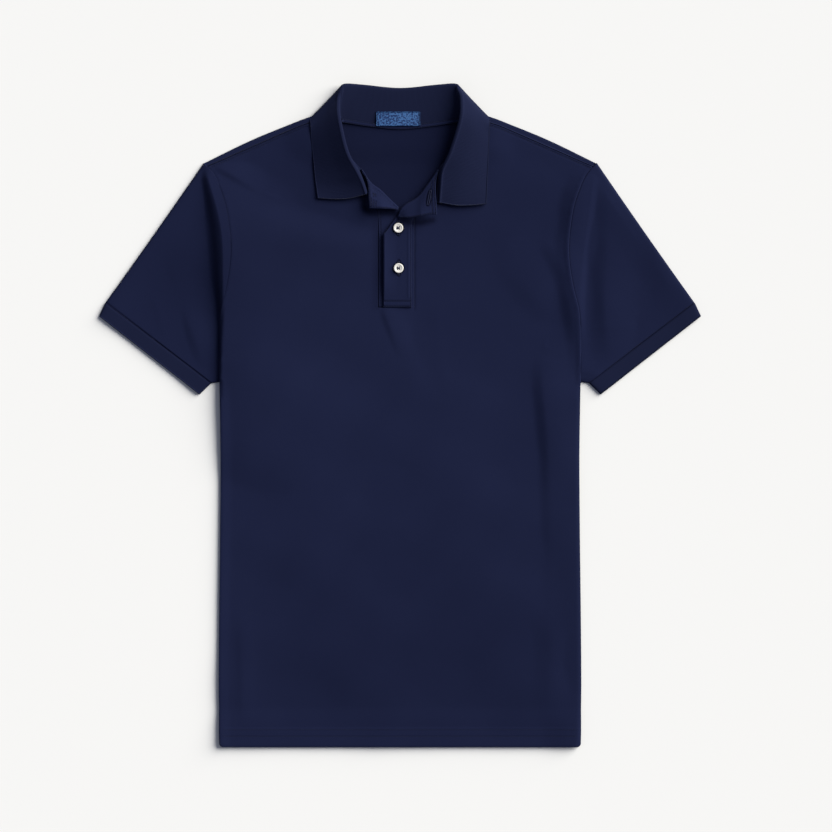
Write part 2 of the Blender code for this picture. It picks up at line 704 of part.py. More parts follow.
def make_button(name, x, y, underside):
    """A turned disc with a dished face and four holes."""
    edge = 0.5
    profile = (
        (0.0, 0.0),
        (BUTTON_RADIUS - 2 * edge, 0.0),
        (BUTTON_RADIUS, BUTTON_THICK * 0.45),
        (BUTTON_RADIUS - 0.25 * edge, BUTTON_THICK * 0.8),
        (BUTTON_RADIUS - 2 * edge, BUTTON_THICK),
        (BUTTON_DISH + edge, BUTTON_THICK),
        (BUTTON_DISH - edge, BUTTON_THICK - BUTTON_DISH_DEPTH),
        (0.0, BUTTON_THICK - BUTTON_DISH_DEPTH),
    )
    points, faces = [(0.0, 0.0, profile[0][1])], []
    rings = []
    for radius, height in profile[1:-1]:
        rings.append(list(range(len(points), len(points) + BUTTON_SIDES)))
        for k in range(BUTTON_SIDES):
            angle = 2 * math.pi * k / BUTTON_SIDES
            points.append((radius * math.cos(angle), radius * math.sin(angle), height))
    points.append((0.0, 0.0, profile[-1][1]))
    for k in range(BUTTON_SIDES):
        n = (k + 1) % BUTTON_SIDES
        faces.append((0, rings[0][n], rings[0][k]))
        faces.append((len(points) - 1, rings[-1][k], rings[-1][n]))
        for low, high in zip(rings, rings[1:]):
            faces.append((low[k], low[n], high[n], high[k]))
    button = make_object(name, "button", points, faces)
    button.location = Vector((x, y, underside)) * METRES
    drill = []
    drill_faces = []
    for sx, sy in ((1, 1), (-1, 1), (-1, -1), (1, -1)):
        first = len(drill)
        sides = 8
        for height in (-1.0, BUTTON_THICK + 1.0):
            for k in range(sides):
                angle = 2 * math.pi * (k + 0.5) / sides
                drill.append((
                    sx * HOLE_OFFSET + HOLE_RADIUS * math.cos(angle),
                    sy * HOLE_OFFSET + HOLE_RADIUS * math.sin(angle),
                    height,
                ))
        drill_faces.append(tuple(first + k for k in reversed(range(sides))))
        drill_faces.append(tuple(first + sides + k for k in range(sides)))
        for k in range(sides):
            n = (k + 1) % sides
            drill_faces.append((first + k, first + n, first + sides + n, first + sides + k))
    cutter = make_object(f"{name}_drill", "button", drill, drill_faces, smooth=False)
    cutter.location = button.location
    cutter.hide_render = True
    cutter.display_type = "WIRE"
    holes = button.modifiers.new("holes", "BOOLEAN")
    holes.object = cutter
    holes.operation = "DIFFERENCE"
    return button


def main():
    clear_scene()
    rows = collar_rows()
    make_back(rows)
    make_front(rows)
    for side, sign in (("left", -1), ("right", 1)):
        make_sleeve(side, sign)
        make_cuff(side, sign)
    make_collar(rows)
    make_plackets()
    make_tape(rows)
    make_label()
    for button in BUTTONS:
        make_button(*button)


main()
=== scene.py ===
import math

import bpy
import numpy as np
from mathutils import Matrix, Vector
from mathutils.geometry import delaunay_2d_cdt
from mathutils.kdtree import KDTree


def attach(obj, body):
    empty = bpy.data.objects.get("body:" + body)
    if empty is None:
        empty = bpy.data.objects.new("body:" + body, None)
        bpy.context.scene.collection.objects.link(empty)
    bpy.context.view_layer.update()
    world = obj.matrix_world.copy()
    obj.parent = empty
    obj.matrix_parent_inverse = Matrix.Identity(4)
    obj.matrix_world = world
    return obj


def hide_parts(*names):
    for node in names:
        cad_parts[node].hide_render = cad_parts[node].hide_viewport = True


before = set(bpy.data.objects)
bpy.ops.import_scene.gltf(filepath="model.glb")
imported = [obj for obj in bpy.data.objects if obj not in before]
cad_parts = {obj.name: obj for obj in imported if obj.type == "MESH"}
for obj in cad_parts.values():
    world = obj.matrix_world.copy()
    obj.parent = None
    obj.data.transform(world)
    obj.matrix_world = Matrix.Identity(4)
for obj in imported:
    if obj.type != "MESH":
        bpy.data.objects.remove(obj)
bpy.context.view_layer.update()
print("frame loaded")

mm = 0.001   # every size below is in millimetres

# What all the pieces share: cloth thickness and the heights that the layers lie at
cloth = {
    "pique": 1.2,
    "rib": 1.6,
    "band": 1.6,
    "tape": 1.0,
    "gap": 0.3,
    "seam": 0.4,
    "frontLevel": 1.5,
    "underLevel": 1.5,
    "overLevel": 4.2,
    "step": 2.8,   # spacing of the mesh on a panel
    "edgeStep": 3.0,                 # and along its edges
}

body = {
    "hemY": -379.5,
    "underarmY": 38.5,
    "shoulderY": 288.0,
    "seamEndY": 283.5,
    "neckX": 72.0,
    "corner": 4.0,
    # y, half width
    "side": [
        (-379.5, 206.3), (-300, 207.5), (-60, 205.3), (38.5, 206.5), (90, 206.5), (120, 204.5),
        (138, 200), (152, 197), (171, 194), (192, 192.8), (216, 194.8), (240, 199),
        (262, 206.5), (276, 213.5), (288, 224.5),
    ],
    # half width, y of the fold on the shoulder, y of the seam in front of it
    "shoulder": [
        (72, 346.6, 342.4), (92, 344.5, 337), (104, 340.9, 333.4),
        (116, 336.6, 329.4), (170, 314.5, 306), (224.5, 288, 282.1),
    ],
}


# ---- curves and heights

def ease(value, low, high):
    t = np.clip((value - low) / (high - low), 0, 1)
    return t * t * (3 - 2 * t)


def readTable(rows, key):
    # values at key on a smooth curve through rows, each of which starts with its own key
    rows = np.asarray(rows, float)
    key = np.asarray(key, float)
    last = len(rows) - 1
    i = np.clip(np.searchsorted(rows[:, 0], key, side="right") - 1, 0, last - 1)
    before, a, b = rows[np.maximum(i - 1, 0)], rows[i], rows[i + 1]
    after = rows[np.minimum(i + 2, last)]
    span = (b - a)[..., :1]
    t = np.clip((key[..., None] - a[..., :1]) / span, 0, 1)
    leave = (b - before) / (b - before)[..., :1] * span
    arrive = (after - a) / (after - a)[..., :1] * span
    values = ((2 * t**3 - 3 * t**2 + 1) * a + (t**3 - 2 * t**2 + t) * leave
              + (3 * t**2 - 2 * t**3) * b + (t**3 - t**2) * arrive)
    return values[..., 1:]


def curveThrough(points, t):
    # places at t, 0 to 1, on a smooth curve through points
    rows = [(k, *p) for k, p in enumerate(points)]
    return readTable(rows, np.asarray(t, float) * (len(points) - 1))


def halfWidth(y):
    return readTable(body["side"], y)[..., 0]


def foldY(x):
    return readTable(body["shoulder"], np.abs(x))[..., 0]


def seamY(x):
    return readTable(body["shoulder"], np.abs(x))[..., 1]


def distanceTo(line, x, y):
    # how far each place is from an open line
    best = np.full(np.shape(x), 1e9)
    for (x0, y0), (x1, y1) in zip(line[:-1], line[1:]):
        dx, dy = x1 - x0, y1 - y0
        t = np.clip(((x - x0) * dx + (y - y0) * dy) / max(dx * dx + dy * dy, 1e-9), 0, 1)
        best = np.minimum(best, np.hypot(x - x0 - dx * t, y - y0 - dy * t))
    return best


def unit(vectors):
    return vectors / np.maximum(np.linalg.norm(vectors, axis=-1, keepdims=True), 1e-9)


def runOf(line):
    # how far along a line each of its points is
    return np.concatenate([[0], np.cumsum(np.linalg.norm(np.diff(line, axis=0), axis=1))])


def placesAt(distance, run, line):
    return np.stack([np.interp(distance, run, line[:, k]) for k in range(line.shape[1])], 1)


def spaced(line, step):
    # the same line with points a step apart
    line = np.asarray(line, float)
    run = runOf(line)
    count = max(2, int(round(run[-1] / step)) + 1)
    return placesAt(np.linspace(0, run[-1], count), run, line)


# ---- the lie of the cloth

drape = {
    # soft folds: reach of the left and of the right flank, then the crest as x, y, height
    "folds": [
        # right of the chest
        (15, 44, [(166, 68, 0), (164.5, 51.5, 1.0), (164.5, 32.1, 2.4), (166.5, 11.4, 3.2),
                  (168.8, -17.2, 3.0), (171, -51.5, 2.3), (173, -97.3, 1.3),
                  (174, -148.8, 0.8), (174, -223.3, 0)]),
        # below the right armhole
        (17, 30, [(168.3, 207.2, 0), (176.3, 188.9, 1.5), (184.3, 172.9, 2.1), (192.4, 155.7, 2.6),
                  (196.4, 132.8, 3.2), (200.4, 111.1, 3.1), (203.8, 91.6, 2.5), (206.7, 72.1, 1.5),
                  (208.4, 44.7, 0)]),
        (18, 34, [(218.7, 287.4, 0), (209.5, 271.4, 1.6), (200.9, 254.2, 2.8), (195.8, 234.7, 3.2),
                  (192.9, 211.8, 3), (192.4, 191.2, 2.4), (195.8, 172.9, 1.2), (201.5, 154.6, 0)]),
        (26, 40, [(105.3, 186.6, 0), (120.2, 170.6, 0.7), (147.7, 145.4, 1.1), (169.5, 121.4, 1.1),
                  (179.8, 106.5, 0)]),
        # right sleeve
        (30, 9, [(221, 280.5, 0), (217.6, 250.8, 1.6), (213.5, 216.4, 1.8), (209.5, 188.9, 1.8),
                 (206.1, 160.3, 1.4), (203.8, 134, 1.4), (203.2, 111.1, 1.2), (203.8, 80.2, 0)]),
        (25, 50, [(240.5, 273.7, 0), (239.3, 246.2, 1.7), (238.2, 216.4, 2.4), (238.2, 188.9, 3.3),
                  (237, 163.7, 3.5), (236.4, 143.1, 4.1), (236.4, 122.5, 4.7), (237, 99.6, 4.6),
                  (238.2, 76.7, 2.8), (239.3, 51.5, 0)]),
        (10, 6, [(286.2, 147.7, 0), (288.5, 132.8, -0.8), (290.3, 117.9, -1.1),
                 (289.7, 101.9, 0)]),
        (9, 9, [(267.9, 113.4, 0), (273.7, 101.9, -0.5), (273.7, 88.2, 0)]),
        # under the placket
        (6, 24, [(-18.3, 122.5, 0.5), (-16, 113.4, 1.2), (-10.9, 99.6, 1.2), (-3.4, 80.2, 0.6),
                 (2.3, 65.3, 0)]),
        (24, 20, [(21.8, 121.4, -0.4), (24, 104.2, -0.8), (26.3, 85.9, -1), (29.8, 65.3, -0.9),
                  (34.4, 44.7, -0.6), (41.2, 14.9, 0)]),
        # left shoulder
        (7, 44, [(-216.4, 289.7, 0), (-205, 282.2, 1.4), (-192.4, 275.4, 1.7),
                 (-179.8, 267.9, 1.2), (-167.2, 260.5, 0.6), (-155.7, 255.3, 0)]),
        # left sleeve
        (12, 28, [(-261.1, 175.2, 0), (-255.3, 148.8, 0.8), (-247.3, 122.5, 1.1),
                  (-238.2, 99.6, 1.4), (-231.3, 80.2, 1.1), (-225.6, 63, 0.5), (-222.1, 49.2, 0)]),
        (7, 20, [(-286.2, 143.1, 0), (-280.5, 128.2, 1), (-275.9, 114.5, 1.1), (-272.5, 97.3, 0.8),
                 (-271.4, 83.6, 0)]),
        (5, 12, [(-308, 134, 0), (-303.4, 122.5, 0.8), (-300, 108.8, 0)]),
        # above the hem
        (9, 20, [(-183.2, -211.8, 0), (-180.9, -257.6, 0.5), (-179.8, -326.3, 0.5),
                 (-179.8, -358.4, 0)]),
        (22, 24, [(161.4, -211.8, 0), (172.9, -257.6, 1.3), (172.9, -303.4, 1.3),
                  (169.5, -343.5, 0.5), (168.3, -358.4, 0)]),
    ],
    # long low waves: wavelength, direction in degrees, height, phase
    "waves": [
        (170, 20, 0.75, 0.4),
        (118, 100, 0.55, 2.1),
        (87, 62, 0.30, 4.0),
        (61, 148, 0.18, 1.2),
    ],
    # the body side of the left armhole stands over the sleeve: y, half width of the foot,
    # run up to the crest, height
    "step": [
        (-90, 206.5, 2.1, 0), (-30, 206.8, 2.1, 3.4), (30, 207.3, 2.1, 7.2), (78, 207, 2.8, 7.6),
        (105, 207.8, 4.6, 9), (132, 211.5, 9.5, 11), (158, 216, 14, 12.4),
        (184, 218.5, 16.5, 12.8), (211, 221, 17, 12.2), (237, 223.8, 14.5, 9.6),
        (258, 226, 10.5, 6.2), (272, 227.2, 7.5, 3.6), (290, 228, 5, 0),
    ],
    "stepEnd": (-20, 100, 198),     # where the rise has gone, low down and high up, and its start
    "inside": 0.9,                  # how far the front stands off the back inside the sides
    "neckLift": (1.9, 284, 311, 102, 135),   # height, from y to y, half widths where it ends
    # painted shade, where the colour is darkened in broad patches: x, y, reach, amount
    "tone": [(-125, 215, 90, 0.17), (125, 215, 80, 0.07), (-60, -300, 150, 0.14),
             (120, -300, 150, 0.12), (-260, 170, 80, 0.14), (275, 170, 80, 0.14)],
}


def fold(x, y, left, right, crest):
    # height near a crest that runs down the cloth, with a flank of its own on each side
    best, height = np.full(np.shape(x), 1e9), np.zeros(np.shape(x))
    for (x0, y0, z0), (x1, y1, z1) in zip(crest[:-1], crest[1:]):
        dx, dy = x1 - x0, y1 - y0
        t = np.clip(((x - x0) * dx + (y - y0) * dy) / (dx * dx + dy * dy), 0, 1)
        reach = np.where(dx * (y - y0) > dy * (x - x0), right, left)
        away = np.hypot(x - x0 - dx * t, y - y0 - dy * t) / reach
        height = np.where(away < best, z0 + (z1 - z0) * t, height)
        best = np.minimum(best, away)
    return height * (1 - ease(best, 0, 1))


def armholeStep(x, y):
    values = readTable(drape["step"], y)
    foot, run, height = -values[..., 0], values[..., 1], values[..., 2]
    lowEnd, highEnd, start = drape["stepEnd"]
    end = lowEnd + (highEnd - lowEnd) * ease(y, 190, 245)
    fall = 1 - ease((x + start) / (start - end), 0, 1)
    t = np.clip((x - foot) / run, 0, 1)
    return np.maximum(height, 0) * (0.6 * ease(t, 0, 1) + 0.4 * t) * fall


def relief(x, y):
    inside = ease(halfWidth(y) - np.abs(x), 0, 40) * ease(y, -378, -340) * (1 - ease(y, 20, 110))
    total = armholeStep(x, y) + drape["inside"] * inside
    for row in drape["folds"]:
        total = total + fold(x, y, *row)
    for wavelength, degrees, height, phase in drape["waves"]:
        turn = math.radians(degrees)
        total = total + height * np.sin(
            2 * math.pi * (x * math.cos(turn) + y * math.sin(turn)) / wavelength + phase)
    # the hollows stop where the front would meet the back
    return 0.5 * (total + np.sqrt(total**2 + 0.16)) - 0.1


def lift(x, y):
    # the panels rise over the part of the collar that lies under the back of the neck
    height, low, high, full, end = drape["neckLift"]
    return height * ease(y, low, high) * (1 - ease(np.abs(x), full, end))


# ---- meshes

def addObject(name, data):
    made = bpy.data.objects.new(name, data)
    bpy.context.scene.collection.objects.link(made)
    return made


def makeObject(name, points, faces, uv, material, smooth=True):
    mesh = bpy.data.meshes.new(name)
    mesh.from_pydata((np.asarray(points) * mm).tolist(), [], faces)
    layer = mesh.uv_layers.new(name="knit")
    corner = np.zeros(len(mesh.loops), np.int32)
    mesh.loops.foreach_get("vertex_index", corner)
    layer.uv.foreach_set("vector", (np.asarray(uv) * mm)[corner].astype(np.float32).ravel())
    mesh.materials.append(material)
    if smooth:
        mesh.shade_smooth()
    made = addObject(name, mesh)
    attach(made, "root")
    return made


def paintShade(made, shadeAt):
    # painted shade: how far the colour is darkened at each point
    x, y = (np.array([v.co[:2] for v in made.data.vertices]) / mm).T
    layer = made.data.attributes.new("paintedShade", "FLOAT", "POINT")
    layer.data.foreach_set("value", shadeAt(x, y).astype(np.float32))


def paintedShadeSpots(x, y):
    # painted shade in broad patches, none on the hem
    tone = [amount * np.exp(-((x - px) / reach) ** 2 - ((y - py) / reach) ** 2)
            for px, py, reach, amount in drape["tone"]]
    return sum(tone) * ease(y, -362, -352)


def pressAndPaintShade(made, paths, strength=1.0, depth=0.0, half=0.8):
    # a line of painted shade along each path, such as a seam, a stitched row or a shaded place,
    # which can also press a dent into the cloth
    railStep, fadeOut = 0.4, 2.5
    rail = np.concatenate([spaced(path, railStep) for path in paths])
    tree = KDTree(len(rail))
    for k, place in enumerate(rail.tolist()):
        tree.insert(place, k)
    tree.balance()
    mesh = made.data
    points = np.zeros(len(mesh.vertices) * 3, np.float32)
    mesh.vertices.foreach_get("co", points)
    points = points.reshape(-1, 3) / mm
    margin = fadeOut * half
    near = ((points > rail.min(0) - margin) & (points < rail.max(0) + margin)).all(1)
    layer = mesh.attributes.get("paintedShade") or mesh.attributes.new("paintedShade", "FLOAT", "POINT")
    shade = np.zeros(len(points), np.float32)
    layer.data.foreach_get("value", shade)
    for k in np.nonzero(near)[0]:
        distance = tree.find(points[k].tolist())[2]
        if distance < margin:
            amount = math.exp(-(distance / half) ** 2)
            shade[k] = max(shade[k], strength * amount)
            points[k, 2] -= depth * amount
    layer.data.foreach_set("value", shade)
    mesh.vertices.foreach_set("co", (points * mm).ravel())
    mesh.update()


def closeSheet(top, bottom, faces, loops, outward, uv):
    # a closed sheet from its two faces, with a round edge along each loop of border points
    arc, edgeUv = 5, 0.6
    count = len(top)
    points = [top, bottom]
    places = [uv, uv]
    skin = [tuple(f) for f in faces] + [tuple(count + v for v in reversed(f)) for f in faces]
    size = 2 * count
    for loop in loops:
        loop = np.asarray(loop)
        middle = (top[loop] + bottom[loop]) / 2
        half = (top[loop] - bottom[loop]) / 2
        reach = np.linalg.norm(half, axis=1)[:, None]
        rings = [loop]
        for k in range(1, arc + 1):
            angle = math.pi * (0.5 - k / (arc + 1))
            points.append(middle + outward[loop] * reach * math.cos(angle) + half * math.sin(angle))
            places.append(uv[loop] + outward[loop][:, :2] * edgeUv * k / (arc + 1))
            rings.append(np.arange(size, size + len(loop)))
            size += len(loop)
        rings.append(loop + count)
        for a, b in zip(rings, rings[1:]):
            skin += np.stack([a, b, np.roll(b, -1), np.roll(a, -1)], 1).tolist()
    return np.concatenate(points), skin, np.concatenate(places)


def outwardOf(outline):
    # level directions that point out of a closed outline that runs counterclockwise
    ahead = np.roll(outline, -1, axis=0) - outline
    behind = outline - np.roll(outline, 1, axis=0)
    along = unit(unit(ahead) + unit(behind))
    return np.stack([along[:, 1], -along[:, 0]], 1)


def insideOf(outline, x, y):
    odd = np.zeros(x.shape, bool)
    for (x0, y0), (x1, y1) in zip(outline, np.roll(outline, -1, axis=0)):
        if y0 != y1:
            odd ^= ((y0 > y) != (y1 > y)) & (x < (x1 - x0) * (y - y0) / (y1 - y0) + x0)
    return odd


def fillOutline(outline, lines):
    # triangles inside an outline, with close rows of points along each stitched line
    step = cloth["step"]
    rowHeight, clear, closeStep = 0.87, 1.6, 3.0
    closed = np.concatenate([outline, outline[:1]])
    low, high = outline.min(0), outline.max(0)
    rows = []
    for k, y in enumerate(np.arange(low[1] + step / 2, high[1], step * rowHeight)):
        xs = np.arange(low[0] + (k % 2) * step / 2, high[0], step)
        rows.append(np.stack([xs, np.full_like(xs, y)], 1))

    def kept(places, margin):
        places = places[insideOf(outline, *places.T)]
        return places[distanceTo(closed, *places.T) > margin]

    grid = kept(np.concatenate(rows), 0.5 * step)
    close = []
    for line in lines:
        grid = grid[distanceTo(line, *grid.T) > clear]
        rail = spaced(line, min(step, closeStep))
        run = unit(np.gradient(rail, axis=0))
        aside = np.stack([run[:, 1], -run[:, 0]], 1)
        close += [rail + aside * offset for offset in (-1.0, -0.45, 0.0, 0.45, 1.0)]
    if close:
        grid = np.concatenate([kept(np.concatenate(close), 0.5), grid])
    places = np.concatenate([outline, grid])
    size = len(outline)
    edges = [(k, (k + 1) % size) for k in range(size)]
    flat, _, faces, source, _, _ = delaunay_2d_cdt(
        [Vector(p) for p in places.tolist()], edges, [], 1, 1e-6)
    where = {old[0]: new for new, old in enumerate(source) if old}
    rim = [where[k] for k in range(size)]
    return np.array([(p.x, p.y) for p in flat]), faces, rim


def panelSheet(outline, topAt, bottomAt, lines=()):
    # a panel cut flat to an outline, lying between two heights
    out = outwardOf(outline)
    flat, faces, rim = fillOutline(outline - out * cloth["pique"] / 2, lines)
    top, bottom = [np.column_stack([flat, heightAt(*flat.T)]) for heightAt in (topAt, bottomAt)]
    outward = np.zeros_like(top)
    outward[rim, :2] = out
    return closeSheet(top, bottom, faces, [rim], outward, flat)


def gridSheet(grid, thick, ring=False):
    # a closed sheet of even thickness about a grid of points
    grid = np.asarray(grid, float)
    rows, cols = grid.shape[:2]
    index = np.arange(rows * cols).reshape(rows, cols)
    if ring:
        wide = np.concatenate([grid[:, -1:], grid, grid[:, :1]], 1)
        across = (wide[:, 2:] - wide[:, :-2]) / 2
        loops = [index[0], index[-1][::-1]]
        wrapped = np.concatenate([index, index[:, :1]], 1)
    else:
        across = np.gradient(grid, axis=1)
        loops = [np.concatenate([index[0, :-1], index[:-1, -1], index[-1, :0:-1], index[:0:-1, 0]])]
        wrapped = index
    down = np.gradient(grid, axis=0)
    u, v = [np.cumsum(np.linalg.norm(np.diff(grid, axis=k, prepend=first), axis=2), axis=k)
            for k, first in ((0, grid[:1]), (1, grid[:, :1]))]
    uv = np.stack([u.mean(1, keepdims=True).repeat(cols, 1), v], 2)
    normal = unit(np.cross(down, across))
    outward = np.zeros_like(grid)
    outward[0] -= unit(down[0])
    outward[-1] += unit(down[-1])
    if not ring:
        outward[:, 0] -= unit(across[:, 0])
        outward[:, -1] += unit(across[:, -1])
    outward = unit(outward - normal * (outward * normal).sum(2, keepdims=True))
    grid = grid - outward * thick / 2
    faces = np.stack([wrapped[:-1, :-1], wrapped[1:, :-1], wrapped[1:, 1:], wrapped[:-1, 1:]], 2)
    top = (grid + normal * thick / 2).reshape(-1, 3)
    bottom = (grid - normal * thick / 2).reshape(-1, 3)
    return closeSheet(top, bottom, faces.reshape(-1, 4).tolist(), loops,
                      outward.reshape(-1, 3), uv.reshape(-1, 2))


def ringed(centres, aside, lid, radius, sides):
    # points in a ring round each centre, one array for each side
    turns = [2 * math.pi * k / sides for k in range(sides)]
    return [centres + radius * (aside * math.cos(t) + lid * math.sin(t)) for t in turns]


def tubeFaces(rings, sides, first=0):
    # the skin of a tube of such rings, with both ends closed
    last = first + (rings - 1) * sides
    faces = []
    for a in range(first, last, sides):
        for k in range(sides):
            n = (k + 1) % sides
            faces.append((a + k, a + n, a + sides + n, a + sides + k))
    return faces + [tuple(reversed(range(first, first + sides))), tuple(range(last, last + sides))]


def joined(*parts):
    points, faces, uv = [], [], []
    size = 0
    for somePoints, someFaces, someUv in parts:
        points.append(somePoints)
        faces += [tuple(size + v for v in f) for f in someFaces]
        uv.append(someUv)
        size += len(somePoints)
    return np.concatenate(points), faces, np.concatenate(uv)


# ---- materials

def newGroup(name, inputs, output, outputKind):
    group = bpy.data.node_groups.new(name, "ShaderNodeTree")
    kinds = {1: "NodeSocketFloat", 3: "NodeSocketVector", 4: "NodeSocketColor"}
    for title, value in inputs.items():
        kind = kinds[1 if isinstance(value, float) else len(value)]
        socket = group.interface.new_socket(name=title, in_out="INPUT", socket_type=kind)
        socket.default_value = value
    group.interface.new_socket(name=output, in_out="OUTPUT", socket_type=outputKind)
    given = group.nodes.new("NodeGroupInput").outputs
    result = group.nodes.new("NodeGroupOutput").inputs
    return group, given, result[output]


def feed(tree, socket, value):
    if isinstance(value, bpy.types.NodeSocket):
        tree.links.new(value, socket)
    else:
        socket.default_value = value


def maths(tree, operation, *values):
    node = tree.nodes.new("ShaderNodeMath")
    node.operation = operation
    for socket, value in zip(node.inputs, values):
        feed(tree, socket, value)
    return node.outputs[0]


def noise(tree, place, scale, detail=2.0, output="Fac"):
    node = tree.nodes.new("ShaderNodeTexNoise")
    for name, value in (("Vector", place), ("Scale", scale), ("Detail", detail)):
        feed(tree, node.inputs[name], value)
    return node.outputs[output]


def blended(tree, part, first, second):
    # a colour between two, which are the seventh and eighth sockets of a mix node
    node = tree.nodes.new("ShaderNodeMix")
    node.data_type = "RGBA"
    for k, value in ((0, part), (6, first), (7, second)):
        feed(tree, node.inputs[k], value)
    return node.outputs[2]


def placed(tree, group, values):
    node = tree.nodes.new("ShaderNodeGroup")
    node.node_tree = group
    for name, value in values.items():
        feed(tree, node.inputs[name], value)
    return node.outputs[0]


def knitWaves(group, given):
    # the two cell coordinates of a knit, each a little uneven, as turns
    split = group.nodes.new("ShaderNodeSeparateXYZ")
    group.links.new(given["Place"], split.inputs[0])
    wobble = group.nodes.new("ShaderNodeSeparateColor")
    group.links.new(noise(group, given["Place"], 330.0, 2.0, "Color"), wobble.inputs[0])
    turns = []
    for axis, size in ((0, "Cell Width"), (1, "Cell Height")):
        offset = maths(group, "SUBTRACT", wobble.outputs[axis], 0.5)
        offset = maths(group, "MULTIPLY", offset, given["Unevenness"])
        cells = maths(group, "DIVIDE", split.outputs[axis], given[size])
        cells = maths(group, "ADD", cells, offset)
        turns.append(maths(group, "MULTIPLY", cells, 2 * math.pi))
    return turns


def makeKnit(name, fibre, cellsOf):
    # raised cells of a knit, with loose fibre over them
    group, given, result = newGroup(
        name,
        {"Place": (0.0, 0.0, 0.0), "Cell Width": 0.0013, "Cell Height": 0.0016,
         "Unevenness": 0.5, "Fibre": fibre},
        "Height", "NodeSocketFloat")
    cells = cellsOf(group, *knitWaves(group, given))
    fuzz = maths(group, "MULTIPLY", noise(group, given["Place"], 2600.0), given["Fibre"])
    group.links.new(maths(group, "ADD", cells, fuzz), result)
    return group


def piqueCells(group, across, down):
    # staggered cells
    cells = maths(group, "MULTIPLY", maths(group, "COSINE", across), maths(group, "COSINE", down))
    return maths(group, "MULTIPLY_ADD", cells, 0.5, 0.5)


def ribCells(group, across, down):
    # fine ribs, each a column of stitches
    ribs = maths(group, "MULTIPLY_ADD", maths(group, "COSINE", across), 0.42, 0.5)
    lean = maths(group, "MULTIPLY", across, 0.5)
    courses = maths(group, "COSINE", maths(group, "ADD", down, lean))
    return maths(group, "MULTIPLY_ADD", courses, 0.12, ribs)


def makeDyeToneAndCellShade():
    # colour with painted shade between the raised cells of the knit, and a dye tone that drifts
    # slowly over the cloth
    group, given, result = newGroup(
        "dyeToneAndCellShade",
        {"Place": (0.0, 0.0, 0.0), "Crest": 0.5, "Drift": 0.3, "Melange": 0.3,
         "Drift Scale": 14.0, "Melange Scale": 900.0,
         "Deep": (0.01, 0.013, 0.04, 1.0), "Light": (0.02, 0.025, 0.06, 1.0)},
        "Color", "NodeSocketColor")
    # painted shade: darker where the knit's cells are low
    tone = maths(group, "MULTIPLY", given["Crest"], 0.5)
    for kind in ("Drift", "Melange"):
        speck = noise(group, given["Place"], given[f"{kind} Scale"], 3.0)
        speck = maths(group, "SUBTRACT", speck, 0.5)
        tone = maths(group, "MULTIPLY_ADD", speck, given[kind], tone)
    tone = maths(group, "ADD", tone, 0.25)
    group.links.new(blended(group, tone, given["Deep"], given["Light"]), result)
    return group


piqueKnit = makeKnit("piqueKnit", 0.25, piqueCells)
ribKnit = makeKnit("ribKnit", 0.2, ribCells)
dyeToneAndCellShade = makeDyeToneAndCellShade()


def newMaterial(name, shaderValues):
    material = bpy.data.materials.new(name)
    material.use_nodes = True
    tree = material.node_tree
    shader = tree.nodes["Principled BSDF"]
    for socket, value in shaderValues.items():
        shader.inputs[socket].default_value = value
    return material, tree, shader


def knitPlace(tree):
    node = tree.nodes.new("ShaderNodeUVMap")
    node.uv_map = "knit"
    return node.outputs[0]


def clothMaterial(name, knit, knitValues, toneValues, bump, shaderValues):
    material, tree, shader = newMaterial(name, shaderValues)
    place = knitPlace(tree)
    height = placed(tree, knit, {"Place": place, **knitValues})
    color = placed(tree, dyeToneAndCellShade, {"Place": place, "Crest": height, **toneValues})
    # painted shade: a point attribute darkens the cloth's colour towards a near-black navy where
    # shade falls
    paintedShade = tree.nodes.new("ShaderNodeAttribute")
    paintedShade.attribute_name = "paintedShade"
    shaded = blended(tree, paintedShade.outputs["Fac"], color, paintedShadeColor)
    tree.links.new(shaded, shader.inputs["Base Color"])
    raised = tree.nodes.new("ShaderNodeBump")
    raised.inputs["Distance"].default_value = bump
    tree.links.new(height, raised.inputs["Height"])
    tree.links.new(raised.outputs[0], shader.inputs["Normal"])
    return material


# the near-black navy that painted shade darkens the cloth towards
paintedShadeColor = (0.0010, 0.0018, 0.0115, 1)
mattCotton = {"Roughness": 0.9, "Specular IOR Level": 0.07, "Sheen Weight": 0.06,
              "Sheen Roughness": 0.3, "Sheen Tint": (0.6, 0.65, 0.8, 1)}
navyPique = clothMaterial(
    "navyPique", piqueKnit,
    {"Cell Width": 0.0013, "Cell Height": 0.0016, "Unevenness": 0.6},
    {"Deep": (0.0062, 0.0092, 0.0328, 1), "Light": (0.0124, 0.0168, 0.0530, 1)},
    0.00018, mattCotton)
navyRib = clothMaterial(
    "navyRib", ribKnit,
    {"Cell Width": 0.0015, "Cell Height": 0.0012, "Unevenness": 1.1},
    {"Deep": (0.0056, 0.0080, 0.0270, 1), "Light": (0.0110, 0.0148, 0.0446, 1)},
    0.00010, mattCotton)
navyThread = clothMaterial(
    "navyThread", ribKnit,
    {"Cell Width": 0.0005, "Cell Height": 0.0005, "Unevenness": 0.3},
    {"Deep": (0.0085, 0.0120, 0.0380, 1), "Light": (0.0160, 0.0215, 0.0600, 1)},
    0.00005, {"Roughness": 0.6, "Specular IOR Level": 0.2})
blueSatin = clothMaterial(
    "blueSatin", ribKnit,
    {"Cell Width": 0.0007, "Cell Height": 0.0005, "Unevenness": 0.5},
    {"Deep": (0.002, 0.019, 0.095, 1), "Light": (0.042, 0.128, 0.330, 1), "Drift": 3.0,
     "Drift Scale": 45.0, "Melange": 9.0, "Melange Scale": 520.0},
    0.00012, {"Roughness": 0.5, "Specular IOR Level": 0.2})
print("materials made")


